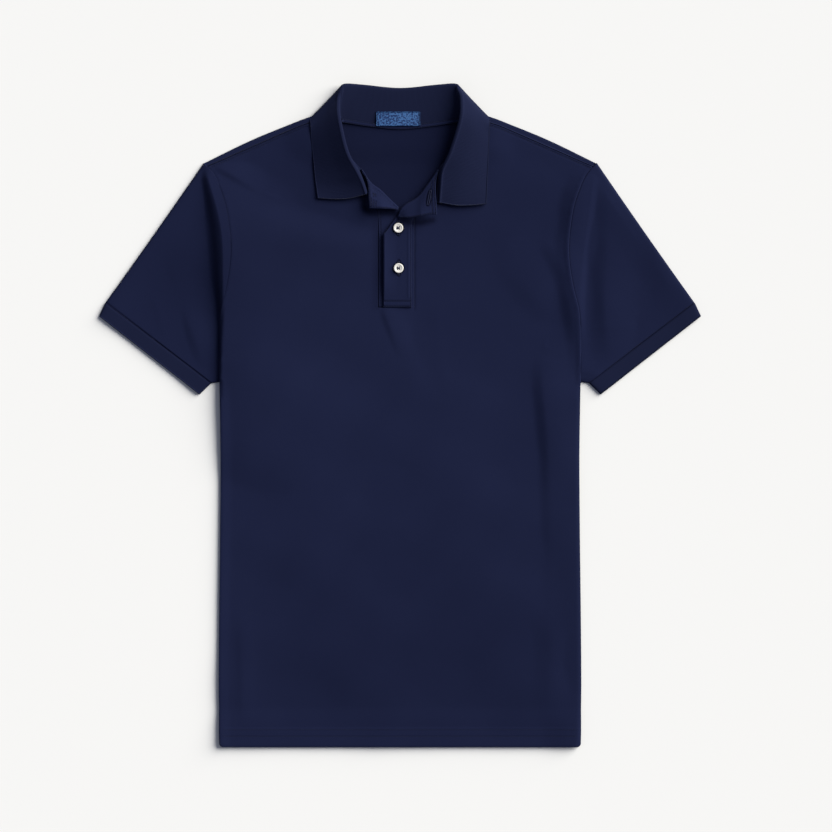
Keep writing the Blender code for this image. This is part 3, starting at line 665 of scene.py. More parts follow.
def pearlMaterial():
    # polished off-white button with a faint cloudy grain
    material, tree, shader = newMaterial(
        "buttonPearl", {"Coat Weight": 0.4, "Coat Roughness": 0.1})
    place = knitPlace(tree)
    color = placed(tree, dyeToneAndCellShade, {
        "Place": place, "Crest": 0.6, "Drift": 0.4, "Melange": 0.5,
        "Deep": (0.66, 0.63, 0.58, 1), "Light": (0.88, 0.86, 0.82, 1)})
    tree.links.new(color, shader.inputs["Base Color"])
    rough = maths(tree, "MULTIPLY_ADD", noise(tree, place, 500.0), 0.2, 0.15)
    tree.links.new(rough, shader.inputs["Roughness"])
    return material


buttonPearl = pearlMaterial()


# ---- sewing

def stitches(path, pitch=2.9, gap=0.7, radius=0.2, up=None):
    # a row of stitches along a line that lies on the cloth
    path = np.asarray(path, float)
    if up is None:
        up = np.tile([0.0, 0.0, 1.0], (len(path), 1))
    run = runOf(path)
    count = max(1, int(run[-1] // pitch))
    start = (np.arange(count) + 0.5 * (run[-1] / pitch - count)) * pitch
    # the rings of one stitch: place along it, width, rise
    shape = ((0.0, 0.5, -0.8), (0.2, 1.0, 0.2), (0.8, 1.0, 0.2), (1.0, 0.5, -0.8))
    sides, reach = 5, 0.3
    rings = []
    for t, width, rise in shape:
        at = start + t * (pitch - gap)
        along = unit(placesAt(at + reach, run, path) - placesAt(at - reach, run, path))
        aside = unit(np.cross(along, placesAt(at, run, up)))
        lid = np.cross(aside, along)
        centres = placesAt(at, run, path) + lid * rise * radius
        rings += ringed(centres, aside, lid, radius * width, sides)
    points = np.stack(rings, 1).reshape(-1, 3)
    faces = []
    for s in range(count):
        faces += tubeFaces(len(shape), sides, s * sides * len(shape))
    return points, faces, points[:, :2]


def onSurface(line, heightAt, rise=0.0):
    line = spaced(line, 1.5)
    return np.column_stack([line, heightAt(*line.T) + rise])


def gridLine(grid, thick, start, end):
    # a line over the upper face of a sheet, from one (row, part of the way across) to another
    count, rise = 50, 0.1
    places = np.asarray(start, float) + np.subtract(end, start) * np.linspace(0, 1, count)[:, None]
    normal = unit(np.cross(np.gradient(grid, axis=0), np.gradient(grid, axis=1)))
    normal *= np.where(normal[..., 2:] < 0, -1, 1)
    row = np.clip(places[:, 0], 0, len(grid) - 1.001)
    column = np.clip(places[:, 1], 0, 1) * (grid.shape[1] - 1.001)
    i, j = row.astype(int), column.astype(int)
    a, b = (row - i)[:, None], (column - j)[:, None]
    place, up = [(values[i, j] * (1 - a) + values[i + 1, j] * a) * (1 - b)
                 + (values[i, j + 1] * (1 - a) + values[i + 1, j + 1] * a) * b
                 for values in (grid, normal)]
    return place + up * (thick / 2 + rise), up


def onGrid(grid, places, rise):
    # places on a sheet, raised from its middle
    flat = grid.reshape(-1, 3)
    gap = ((flat[:, :2] - places[:, None]) ** 2).sum(2)
    weight = 1 / (gap + 0.3) ** 4
    z = (weight * flat[:, 2]).sum(1) / weight.sum(1)
    return np.column_stack([places, z + rise])


def buttonhole(grid, thick, middle, length, lean):
    # close cross stitches, the slit and the line round them: lean is from the y axis, in degrees
    along = np.array([math.sin(math.radians(lean)), math.cos(math.radians(lean))])
    aside = np.array([along[1], -along[0]])
    parts = []
    for place in np.arange(-length / 2, length / 2 + 0.01, 0.5):
        nearEnd = length / 2 - abs(place)
        inner, outer = (0.05, 1.5) if nearEnd < 1.0 else (0.45, 1.6)
        for side in (-1, 1):
            ends = np.array([middle + along * place + aside * side * r for r in (inner, outer)])
            parts.append(stitches(onGrid(grid, ends, thick / 2 + 0.05), outer - inner, 0.05, 0.3))
    slit = middle + along * np.linspace(-length / 2 + 1, length / 2 - 1, 20)[:, None]
    turn = np.radians(np.arange(0, 365, 10))[:, None]
    ring = middle + along * np.cos(turn) * (length / 2 + 1.2) + aside * np.sin(turn) * 2.5
    return parts, onGrid(grid, slit, thick / 2), onGrid(grid, ring, thick / 2)


def dent(x, y, lines):
    # the dent that a row of stitches pulls into the cloth, shallow in the hem
    half = 0.7
    total = np.zeros(np.shape(x))
    for k, line in enumerate(lines):
        depth = 0.14 if k < len(hem["rows"]) else 0.35
        total = total - depth * np.exp(-(distanceTo(line, x, y) / half) ** 2)
    return total


def mirrored(line):
    line = np.asarray(line, float)[::-1].copy()
    line[:, 0] *= -1
    return line


# ---- collar line, which the neck edges follow

collar = {
    # each row: the roll's x, y, z, the tip in degrees, the seam's x, y, z, the edge's x, y, z
    "leftFront": [
        (39.4, 252.0, 11, 0, 37.5, 253.5, 5.4, 94.5, 247.6, 5.4),
        (44.0, 266, 16.5, 0, 42.5, 268.5, 5.8, 96, 259.5, 4.5),
        (50.2, 279, 21, 0, 49.5, 283.6, 5.0, 97.5, 271, 4.2),
        (61.5, 301, 24, 5, 65.5, 300.5, 4.9, 99.7, 296, 4.7),
    ],
    "rightFront": [
        (45.6, 242.2, 7.6, 0, 41.6, 243.4, 4.6, 99.4, 241, 7.0),
        (47.0, 261, 10, 0, 42.4, 262, 4.8, 99.8, 255.5, 5.6),
        (49.4, 280, 13, 0, 46.2, 284.2, 4.8, 100.3, 268, 4.8),
        (59, 301, 17.5, 5, 64.5, 300.5, 4.9, 101.3, 294, 4.9),
    ],
    "sidesAndBack": [
        (70, 337, 22, 8, 75, 329, 5.6, 102, 319, 6.2),
        (71.4, 360, 19, 20, 76, 338.5, 5.8, 102.6, 331.5, 7.2),
        (68.6, 371.2, 16, 45, 72, 341, 5.7, 102.4, 339.2, 3.2),
        (64, 377, 11, 65, 63.5, 336.5, 3.4, 97, 336.5, 0.8),
        (42, 376.2, 6.2, 80, 40, 331.8, 2.7, 58, 320, 0.8),
        (0, 372.7, 4.8, 85, 0, 329, 2.7, 0, 316.5, 0.8),
    ],
    "rollRadius": 2.0,
    "leftDrop": {5: 6.5, 6: 5.0, 7: 1.5},    # of the roll at rows of the left side
    "bulge": (-0.8, 0.8),     # of the leaf at its left and right side
    "endBow": (3.0, 2.6),     # how far the two front ends bow down, left and right
    "stepsBetween": 9,
    "stepsAcross": 57,
}


def collarRows():
    left = [list(row) for row in collar["leftFront"] + collar["sidesAndBack"]]
    for k, drop in collar["leftDrop"].items():
        left[k][2] -= drop
    right = [list(row) for row in collar["rightFront"] + collar["sidesAndBack"]]
    for row in left:
        for k in (0, 4, 7):
            row[k] = -row[k]
    rows = left + right[:-1][::-1]
    return [(k, *row) for k, row in enumerate(rows)]


collarLine = collarRows()
collarEnd = len(collarLine) - 1


def neckPoint(key):
    return readTable(collarLine, key)[..., 4:6]


# ---- back panel, with its edge turned forward over the shoulders

backRim = {"fade": (10, 45), "under": (0.3, 5), "top": (0.2, 8)}   # of the back: height, reach
hem = {"rows": (-360.0, -367.5), "reach": 202.5, "top": -358.0, "slope": 26.0, "thick": 1.2}
# the rims of the body's left and right sides
puff = {"reach": 5.5, "height": (0.3, 2.0), "fade": 45.0, "seam": (1.2, 0.2), "seamReach": 14.0}


def sideLine(topY):
    step, corner = cloth["edgeStep"], body["corner"]
    width = float(halfWidth(body["hemY"]))
    turn = np.radians(np.linspace(-90, 0, 6))
    arc = np.stack([width - corner + corner * np.cos(turn),
                    body["hemY"] + corner + corner * np.sin(turn)], 1)
    ys = np.arange(body["hemY"] + corner + step, topY - 0.6 * step, step)
    ys = np.append(ys, topY)
    return np.concatenate([arc, np.stack([halfWidth(ys), ys], 1)])


def hemLine():
    step = cloth["edgeStep"]
    reach = float(halfWidth(body["hemY"])) - body["corner"] - step
    xs = np.linspace(-reach, reach, int(2 * reach / step))
    return np.stack([xs, np.full_like(xs, body["hemY"])], 1)


def sideGap(x, y):
    return np.maximum(halfWidth(y) - np.abs(x), 0)


def hemRise(y):
    return hem["thick"] * (1 - ease(y, hem["top"], hem["top"] + hem["slope"]))


def hemRow(y):
    return np.array([(-hem["reach"], y), (hem["reach"], y)])


def besideEdge(inside, lowY, highY):
    ys = np.arange(lowY, highY, cloth["edgeStep"])
    return np.stack([halfWidth(ys) - inside, ys], 1)


def alongShoulder(heightAt, fromX, toX):
    xs = np.arange(fromX, toX, math.copysign(cloth["edgeStep"], toX - fromX))
    return np.stack([xs, heightAt(xs)], 1)


def belowArm(y, low, high):
    return 1 - ease(y, low, high)


def rounded(gap, reach):
    # 0 at an edge to 1 a reach away from it, as a quarter circle
    return np.sqrt(1 - (1 - np.minimum(gap / reach, 1)) ** 2)


def backBottom(x, y):
    height, reach = backRim["under"]
    edge = height * (1 - rounded(sideGap(x, y), reach))
    return lift(x, y) + belowArm(y, *backRim["fade"]) * edge


def backTop(x, y):
    height, reach = backRim["top"]
    edge = belowArm(y, *backRim["fade"]) * height * (1 - ease(sideGap(x, y), 0, reach))
    return lift(x, y) + cloth["pique"] + hemRise(y) + edge


def shoulderFold(sign):
    # the back's edge going over the shoulder and down to the seam
    rows = []
    for x in np.linspace(73.5, 224.3, 52):
        top, low = float(foldY(x)), float(seamY(x)) + cloth["seam"]
        raised = float(lift(x, top))
        middle = cloth["pique"] + cloth["gap"] / 2
        radius = middle - cloth["pique"] / 2
        section = [(top - 9, raised + cloth["pique"] / 2 - 0.05),
                   (top - 5, raised + cloth["pique"] / 2)]
        for k in range(7):
            angle = math.radians(-90 + 30 * k)
            section.append((top - cloth["pique"] / 2 - radius + radius * math.cos(angle),
                            raised + middle + radius * math.sin(angle)))
        start = section[-1][0]
        for k in range(1, 4):
            section.append((start + (low - start) * k / 3, raised + middle + radius))
        rows.append([(sign * x, y, z) for y, z in section])
    points, faces, uv = gridSheet(rows if sign > 0 else rows[::-1], cloth["pique"])
    return points, faces, points[:, :2]


def makeBack():
    side = sideLine(body["shoulderY"])
    fold = alongShoulder(foldY, 220, 74) - (0, 2.0)
    side = np.append(side[side[:, 1] < body["shoulderY"] - 2.5], [(224.0, 287.2)], 0)
    keys = np.linspace(collarEnd / 2 + 2.5, collarEnd / 2 - 2.5, 41)
    neck = neckPoint(keys) - (0, cloth["seam"])
    right = np.concatenate([side, fold, [(73.5, float(foldY(72)) - 2.0)]])
    outline = np.concatenate([right, neck, mirrored(right), hemLine()])
    parts = [panelSheet(outline, backTop, backBottom)]
    parts += [shoulderFold(sign) for sign in (1, -1)]
    made = makeObject("backPanel", *joined(*parts), navyPique)
    # the wrong side of the knit, which shows in the neck, is darkened with painted shade from the
    # collar over it
    paintShade(made, lambda x, y: 0.38 * (1 - ease(np.abs(x), 74, 80)) * ease(y, 215, 235))
    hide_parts("back")
    return made


# ---- front panel

frontCloth = {
    # raised edge along the left and right armhole: where it starts to fall, where it ends, height
    "seamEdge": {-1: (1.2, 5.0, 0.2), 1: (1.4, 5.0, 0.9)},
    "shoulderRow": 2.4,
    "slitLeft": -25.0,
    "slitRight": 12.3,
    "slitFoot": 123.0,
    "slitTurn": 226.0,
    "slitLeanRight": [(45, 281), (33, 258), (16.5, 239)],
    "slitLeanLeft": [(-26.8, 239), (-33, 258), (-45.2, 282)],
    "neckMargin": 3.0,
}


def sideRise(x, y):
    gap = sideGap(x, y)
    height, seam = [np.where(x < 0, *puff[key]) for key in ("height", "seam")]
    swell = (height * rounded(gap, puff["reach"])
             * (1 - ease(gap, puff["reach"], puff["fade"])))
    return belowArm(y, 15, 48) * (swell + seam * (1 - ease(gap, 0, puff["seamReach"])))


def frontLines():
    lines = [hemRow(y) for y in hem["rows"]]
    shoulder = alongShoulder(seamY, 74.0, 219.0) - (0, frontCloth["shoulderRow"])
    lines += [shoulder, mirrored(shoulder)]
    x = frontCloth["slitRight"] + 4.3
    lines.append(np.array([(x, 122.0), (x, frontCloth["slitTurn"] + 4)]))
    return lines


def frontBottom(x, y):
    return cloth["frontLevel"] + 1.06 * lift(x, y) + relief(x, y) + sideRise(x, y) + hemRise(y)


frontRows = frontLines()
armholeEdge = besideEdge(0.0, 38.5, 284.0)


def frontTop(x, y):
    hemThick = hem["thick"] * (0.75 * (1 - ease(y, hem["top"], hem["top"] + hem["slope"]))
                               + 0.25 * (1 - ease(y, hem["top"] - 0.9, hem["top"] + 0.9)))
    raised = np.zeros(np.shape(x))
    for sign, edge in ((1, armholeEdge), (-1, mirrored(armholeEdge))):
        full, end, height = frontCloth["seamEdge"][sign]
        raised += height * (1 - ease(distanceTo(edge, x, y), full, end))
    return frontBottom(x, y) + cloth["pique"] + hemThick + raised + dent(x, y, frontRows)


def makeFront():
    c = frontCloth
    neck = []
    for keys in (np.linspace(collarEnd - 5, collarEnd - 2.5, 16), np.linspace(2.5, 5, 16)):
        line = neckPoint(keys)
        neck.append(line + unit(np.array([0.0, 315.0]) - line) * c["neckMargin"])
    slit = np.array(c["slitLeanRight"]
                    + [(c["slitRight"], c["slitTurn"]), (c["slitRight"], c["slitFoot"]),
                       (c["slitLeft"], c["slitFoot"]), (c["slitLeft"], c["slitTurn"])]
                    + c["slitLeanLeft"], float)
    slit = np.concatenate([spaced(slit[k:k + 2], cloth["edgeStep"])[:-1]
                           for k in range(len(slit) - 1)] + [slit[-1:]])
    right = np.concatenate([sideLine(body["seamEndY"]), alongShoulder(seamY, 219, 74),
                            [(body["neckX"], float(seamY(body["neckX"])))]])
    outline = np.concatenate([right, neck[0], slit, neck[1], mirrored(right), hemLine()])
    # close points also where the rims, the left armhole's rise and the hem bend the cloth
    extra = [besideEdge(inside, -372, 20) for inside in (2.4, 5.5)]
    ys = np.arange(41, 112, 2.0)
    foot = readTable(drape["step"], ys)
    cliff = np.stack([foot[:, 1] / 2 - foot[:, 0], ys], 1)
    extra += [mirrored(line) for line in extra] + [cliff, np.array([(-203, hem["top"]),
                                                                    (203, hem["top"])])]
    lines = frontRows + extra
    made = makeObject("frontPanel", *panelSheet(outline, frontTop, frontBottom, lines), navyPique)
    # painted shade in broad patches over the front
    paintShade(made, paintedShadeSpots)
    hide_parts("front")
    return made


# ---- sleeves and their rib bands

sleeve = {
    "hemTop": (336.6, 128.2),
    "hemLow": (216.8, 36.9),
    "bandTop": (344.0, 112.6),
    "bandLow": (230.2, 23.8),
    "bow": -0.6,
    "nearRows": 46,    # rows in the part next to the armhole
    "nearPart": 0.17,
    "farRows": 46,
    "across": 84,
    "edgePuff": 0.9,
    "seamDip": {-1: 0.9, 1: 0.5},
    "seamGap": {-1: -0.5, 1: 0.2},   # to the front's armhole edge, left and right
}


def crossPlaces():
    # 0 to 1 over the sleeve, closer together at its two edges
    t = np.linspace(0, 1, sleeve["across"] + 1)
    return 0.3 * t + 0.35 * (1 - np.cos(math.pi * t))


def sleevePlan(sign, along, across):
    top = np.array([224.9, 288.4])
    seam = sleeve["seamGap"][sign]
    low = np.array([float(halfWidth(body["underarmY"])) + seam, body["underarmY"]])
    start = top + (low - top) * across[:, None]
    curve = np.stack([halfWidth(start[:, 1]) + seam, start[:, 1]], 1)
    bow = np.array([0.83, 0.56]) * sleeve["bow"] * 4 * along * (1 - along)
    endTop = top + (np.array(sleeve["hemTop"]) - top) * along + bow
    endLow = low + (np.array(sleeve["hemLow"]) - low) * along
    place = endTop + (endLow - endTop) * across[:, None]
    place = place + (curve - start) * (1 - along) ** 1.5
    return place * (sign, 1)


def tubeSection(sign, places, thick, shaped):
    # round the flattened tube: over its upper layer and back under it
    split = (thick + cloth["gap"]) / 2
    centre = thick + cloth["gap"] / 2
    first, last = places[0], places[-1]
    span = np.linalg.norm(last - first)
    edge = np.minimum(*[np.linalg.norm(places - end, axis=1) for end in (first, last)])
    turn = rounded(edge, split)
    rise = sleeve["edgePuff"] * rounded(edge, 6) * (1 - ease(edge, 6, min(40, span / 3)))
    if shaped:
        rise = rise + relief(places[:, 0], places[:, 1]) * np.minimum(1, edge / 12)
    upper = np.column_stack([places, centre + split * turn + rise])
    lower = np.column_stack([places, centre - split * turn])[1:-1][::-1]
    ring = np.concatenate([upper, lower])
    return ring if sign > 0 else np.concatenate([ring[:1], ring[:0:-1]])


def sleeveUv(points, sign):
    # the knit runs down the sleeve
    axis = np.array([0.77 * sign, -0.64])
    return np.stack([points[:, 0] * -axis[1] + points[:, 1] * axis[0],
                     points[:, 0] * axis[0] + points[:, 1] * axis[1]], 1)


def seamDitch(sign, away):
    # the cloth dips into the seam: distance from the seam
    return -sleeve["seamDip"][sign] * (1 - ease(away, 0.2, 1.7))


def makeSleeve(side, sign):
    across = crossPlaces()
    near = sleeve["nearPart"]
    rows = np.concatenate([np.linspace(0, near, sleeve["nearRows"], endpoint=False),
                           np.linspace(near, 0.95, sleeve["farRows"], endpoint=False),
                           np.linspace(0.95, 1, 9)])
    grid = np.array([tubeSection(sign, sleevePlan(sign, along, across), cloth["pique"], True)
                     for along in rows])
    toBand = np.linalg.norm(grid - grid[-1], axis=2)
    upper = ease(grid[..., 2], 1.3, 2.0)
    grid[..., 2] += seamDitch(sign, toBand) * upper
    points, faces, uv = gridSheet(grid, cloth["pique"], ring=True)
    made = makeObject(f"sleeve{side}", points, faces, sleeveUv(points, sign), navyPique)
    # painted shade in broad patches over the sleeve
    paintShade(made, paintedShadeSpots)
    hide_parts(f"sleeve_{side.lower()}")
    return made


def makeCuff(side, sign):
    across = crossPlaces()
    top, low = np.array(sleeve["hemTop"]), np.array(sleeve["hemLow"])
    endTop, endLow = np.array(sleeve["bandTop"]), np.array(sleeve["bandLow"])
    width = np.linalg.norm(endTop - top)
    grid = []
    for along in np.concatenate([np.linspace(-0.02, 0.14, 8)[:-1], np.linspace(0.14, 1, 9)]):
        a, b = top + (endTop - top) * along, low + (endLow - low) * along
        places = (a + (b - a) * across[:, None]) * (sign, 1)
        section = tubeSection(sign, places, cloth["rib"], False)
        upper = ease(section[:, 2], 1.6, 2.4)
        section[:, 2] += seamDitch(sign, along * width) * upper
        grid.append(section)
    points, faces, uv = gridSheet(grid, cloth["rib"], ring=True)
    made = makeObject(f"cuff{side}", points, faces, sleeveUv(points, sign), navyRib)
    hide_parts(f"cuff_{side.lower()}")
    return made


# ---- collar

def collarSection(key):
    # middle of the knit at one place, from the neck seam over the roll to the edge
    row = readTable(collarLine, key)
    roll, tip, seam, edge = row[0:3], math.radians(row[3]), row[4:7], row[7:10]
    ahead = readTable(collarLine, min(key + 0.1, collarEnd))[:2]
    run = unit(ahead - readTable(collarLine, max(key - 0.1, 0))[:2])
    outward = np.array([-run[1], run[0], 0.0])
    upright = np.array([0.0, 0.0, 1.0])
    up = outward * math.sin(tip) + upright * math.cos(tip)
    leaf = outward * math.cos(tip) - upright * math.sin(tip)
    radius = collar["rollRadius"]
    standSide = roll - up * radius - leaf * radius
    leafSide = roll - up * radius * 0.6 + leaf * radius * 1.3
    knots = [seam, (seam + standSide) / 2, standSide, roll, leafSide]
    under = math.sin(tip) ** 2
    for part, hanging, swell in ((0.35, 0.14, 1.0), (0.7, 0.0, 0.7)):
        place = leafSide + (edge - leafSide) * part
        place[1] -= (collar["endBow"][0] * (1 - ease(key, 0, 1))
                     + collar["endBow"][1] * ease(key, collarEnd - 1, collarEnd)) * swell
        bulge = collar["bulge"][0 if key < collarEnd / 2 else 1]
        place[2] += bulge * math.cos(tip) * swell
        lying = edge[2] + (leafSide[2] - edge[2]) * hanging
        place[2] += (lying - place[2]) * under
        knots.append(place)
    knots.append(edge)
    line = curveThrough(knots, np.linspace(0, 1, collar["stepsAcross"]))
    line[:, 2] = np.maximum(line[:, 2], cloth["rib"] / 2)
    return line


def makeCollar():
    count = collarEnd * collar["stepsBetween"]
    grid = [collarSection(collarEnd * k / count) for k in range(count + 1)]
    made = makeObject("collar", *gridSheet(grid, cloth["rib"]), navyRib)
    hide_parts("collar")
    return made


# ---- plackets, whose tops fold out as lapels

placket = {
    "columns": 51,
    "stripRows": 104,
    "leanRows": 26,
    "bendRows": 13,
    "flapRows": 50,
    "stripTop": 207.0,
    "under": {
        "left": -24.6, "right": 3.1, "foot": 123.4,
        "level": cloth["underLevel"],
        "radius": 2.1,
        "fold": [(-44.3, 281.6), (-33.4, 265.6), (-22.6, 257.3), (-11.4, 246.2), (-1.6, 237.2)],
        "edge": [(-34.6, 236.2), (-27, 236), (-18, 235.9), (-9, 235.4), (-2.2, 234.4)],
        "leanPower": (3.4, 1.0),   # at the left and right side
        "neckBow": (0, 3.4),       # side that bows, reach
        "edgeRise": 9.5,
        "curl": 0.0,
        "ridge": 0.0,
    },
    "over": {
        "left": -19.0, "right": 13.5, "foot": 123.0,
        "level": cloth["overLevel"],
        "radius": 1.6,
        "fold": [(-2.4, 226.4), (3.5, 238), (20, 248.5), (31, 262), (44, 280.6)],
        "edge": [(-0.4, 225.6), (9.5, 225.2), (21, 226.6), (32, 228.2), (42.2, 228.8)],
        "leanPower": (1.0, 2.6),
        "neckBow": (1, -2.6),
        "edgeRise": 10.0,
        "curl": 2.4,               # lift of the free left side
        "ridge": 0.3,              # bulge inside the row on the right
    },
}


def placketGrid(p):
    # a strip up the front that turns over along its fold and ends at its free edge
    across = np.linspace(0, 1, placket["columns"])
    middle = p["level"] + cloth["band"] / 2
    curl = p["curl"] * np.clip(1 - across / 0.5, 0, 1) ** 1.7
    grid = []
    for y in np.linspace(p["foot"], placket["stripTop"], placket["stripRows"]):
        x = p["left"] + (p["right"] - p["left"]) * across
        ridge = p["ridge"] * np.exp(-((across - 0.885) / 0.04) ** 2) * ease(y, 132, 136)
        height = middle + ridge + curl * ease(y, 126, 158)
        grid.append(np.column_stack([x, np.full_like(x, y), height]))
    flat = grid[-1][:, :2]
    folded = curveThrough(p["fold"], across)
    free = curveThrough(p["edge"], across)
    left, right = p["leanPower"]
    for part in np.linspace(0, 0.94, placket["leanRows"] + 1)[1:]:
        lean = (1 - part**2) * part ** (left + (right - left) * across) + part**3
        place = flat + (folded - flat) * np.column_stack([lean, np.full_like(lean, part)])
        height = middle + ridge * (1 - ease(part, 0, 0.3)) + curl * (1 - ease(part, 0, 0.8))
        grid.append(np.column_stack([place, height]))
    reach = np.linalg.norm(free - folded, axis=1)
    inward = (free - folded) / reach[:, None]
    for angle in np.radians(np.linspace(-90, 90, placket["bendRows"])):
        place = folded + inward * p["radius"] * (1 - math.cos(angle))
        height = middle + p["radius"] * (1 + math.sin(angle))
        grid.append(np.column_stack([place, np.full(len(place), height)]))
    start = folded + inward * p["radius"]
    end, bow = p["neckBow"]
    nearness = 1 - np.abs(end - across)
    rise = p["edgeRise"] * np.minimum(1, reach / 25)
    for part in np.linspace(0, 1, placket["flapRows"])[1:]:
        place = start + (free - start) * part
        place[:, 0] += bow * nearness**3 * 6.75 * part * (1 - part) ** 2
        grid.append(np.column_stack([place, middle + 2 * p["radius"] + rise * part**1.3]))
    return np.array(grid)


def makePlacket(name, node, p):
    grid = placketGrid(p)
    points, faces, uv = gridSheet(grid, cloth["band"])
    piece = makeObject(name, points, faces, uv[:, ::-1], navyPique)
    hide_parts(node)
    return piece, grid


# ---- neck tape and label

tape = {"half": 67.0, "width": 4.6, "level": 3.9, "endRise": 1.3}
label = {"left": -27.5, "right": 23.0, "low": 330.6, "high": 347.0, "level": 5.9, "thick": 0.9}


def makeTape():
    grid = []
    for x in np.linspace(-tape["half"], tape["half"], 45):
        y = float(neckPoint(collarEnd / 2 + 2.0 * x / 63.5)[1])
        z = tape["level"] + cloth["tape"] / 2 + tape["endRise"] * (x / tape["half"]) ** 2
        grid.append([(x, y + tape["width"] * side, z - 0.25 * (2 * side) ** 2)
                     for side in np.linspace(0.5, -0.5, 9)])
    grid = np.array(grid)
    made = makeObject("neckTape", *gridSheet(grid, cloth["tape"]), navyPique)
    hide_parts("neck_tape")
    return made, grid


def makeLabel():
    grid = []
    for x in np.linspace(label["left"], label["right"], 35):
        t = (x - label["left"]) / (label["right"] - label["left"])
        arch = 0.35 * math.sin(math.pi * t) - 0.25 * (2 * t - 1) ** 8
        grid.append([(x, y, label["level"] + arch)
                     for y in np.linspace(label["high"], label["low"], 13)])
    grid = np.array(grid)
    made = makeObject("neckLabel", *gridSheet(grid, label["thick"]), blueSatin)
    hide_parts("label")
    return made, grid


# ---- buttons

button = {
    "radius": 5.65,
    "thick": 2.4,
    "dish": 3.7,
    "dishDepth": 0.6,
    "hole": 0.75,
    "holeOffset": 1.25,
    "sides": 64,
    "holeSides": 20,
    "fastened": ("button_middle", "button_low"),
    "places": {   # node: x, y, underside
        "button_middle": (-2.0, 214.0, 6.2),
        "button_low": (-1.6, 168.0, 6.2),
        "button_neck": (-29.0, 251.0, 3.4),
    },
}


def turnedProfile():
    # half section of the button, from the middle of its back round to the middle of its face
    rim, dish = button["radius"], button["dish"]
    return [(rim - 1.1, 0.0), (rim - 0.5, 0.15), (rim - 0.12, 0.6), (rim, 1.1), (rim - 0.03, 1.6),
            (rim - 0.2, 2.05), (rim - 0.55, 2.32), (rim - 1.0, 2.4), (dish + 0.6, 2.36),
            (dish + 0.2, 2.2), (dish - 0.2, 1.95), (dish - 0.7, 1.8)]


def makeButton(node):
    top, sides = button["thick"], button["sides"]
    turn = 2 * np.pi * np.arange(sides) / sides
    rings = [np.stack([radius * np.cos(turn), radius * np.sin(turn), np.full(sides, height)], 1)
             for radius, height in turnedProfile()]
    points = np.concatenate([[(0, 0, 0)], *rings, [(0, 0, top - button["dishDepth"])]])
    faces = tubeFaces(len(rings), sides, 1)[:-2]
    for k in range(sides):
        n = (k + 1) % sides
        faces += [(0, 1 + n, 1 + k), (len(points) - 1, len(points) - 1 - sides + k,
                                      len(points) - 1 - sides + n)]
    blank = makeObject("blank", points, faces, points[:, :2] * 4, buttonPearl)
    drill, drillFaces = [], []
    sides, offset = button["holeSides"], button["holeOffset"]
    for sx, sy in ((1, 1), (-1, 1), (-1, -1), (1, -1)):
        drillFaces += tubeFaces(2, sides, len(drill))
        for height in (-1.0, top + 1.0):
            for k in range(sides):
                angle = 2 * math.pi * k / sides
                drill.append((sx * offset + button["hole"] * math.cos(angle),
                              sy * offset + button["hole"] * math.sin(angle), height))
    drill = makeObject("drill", drill, drillFaces, np.array(drill)[:, :2], buttonPearl, False)
    cut = blank.modifiers.new("holes", "BOOLEAN")
    cut.object = drill
    cut.operation = "DIFFERENCE"
    bpy.context.view_layer.update()
    seen = blank.evaluated_get(bpy.context.evaluated_depsgraph_get())
    mesh = bpy.data.meshes.new_from_object(seen)
    bpy.data.objects.remove(blank)
    bpy.data.objects.remove(drill)
    mesh.transform(Matrix.Translation(Vector(button["places"][node]) * mm))
    mesh.set_sharp_from_angle(angle=math.radians(50))
    made = addObject("button" + node.split("_")[1].title(), mesh)
    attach(made, "root")
    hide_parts(node)
    return made


def thickLine(path, radius):
    # a round thread along a line
    sides = 8
    along = unit(np.gradient(path, axis=0))
    aside = unit(np.cross(along, [0.13, 0.21, 0.97]))
    rings = ringed(path, aside, np.cross(aside, along), radius, sides)
    points = np.stack(rings, 1).reshape(-1, 3)
    return points, tubeFaces(len(path), sides), points[:, :2]


def makeButtonThread():
    parts = []
    offset = button["holeOffset"]
    for node in button["fastened"]:
        x, y, z = button["places"][node]
        face = z + button["thick"] - button["dishDepth"]
        for side in (-1, 1):
            for strand in (-0.3, 0.3):
                t = np.linspace(-1, 1, 13)
                inward = side * (0.5 * (1 - t**2) + 0.05 * strand)
                parts.append(thickLine(np.stack([
                    x + side * offset + strand - inward,
                    y + offset * 1.05 * t,
                    face + 0.5 - 1.9 * np.abs(t) ** 6], 1), 0.36))
    made = makeObject("buttonThread", *joined(*parts), navyThread)
    return made


print("building the cloth")
backPanel = makeBack()
print("back done")
frontPanel = makeFront()
print("front done")
sleeves, cuffs = [], []
for side, sign in (("Left", -1), ("Right", 1)):
    sleeves.append(makeSleeve(side, sign))
    cuffs.append(makeCuff(side, sign))
print("sleeves done")
collarPiece = makeCollar()
placketUnder, underGrid = makePlacket("placketUnder", "placket_under", placket["under"])
placketOver, overGrid = makePlacket("placketOver", "placket_over", placket["over"])
neckTape, tapeGrid = makeTape()
neckLabel, labelGrid = makeLabel()
buttons = [makeButton(node) for node in button["places"]]
buttonThread = makeButtonThread()
print("collar, plackets and buttons done")


# ---- stitched rows

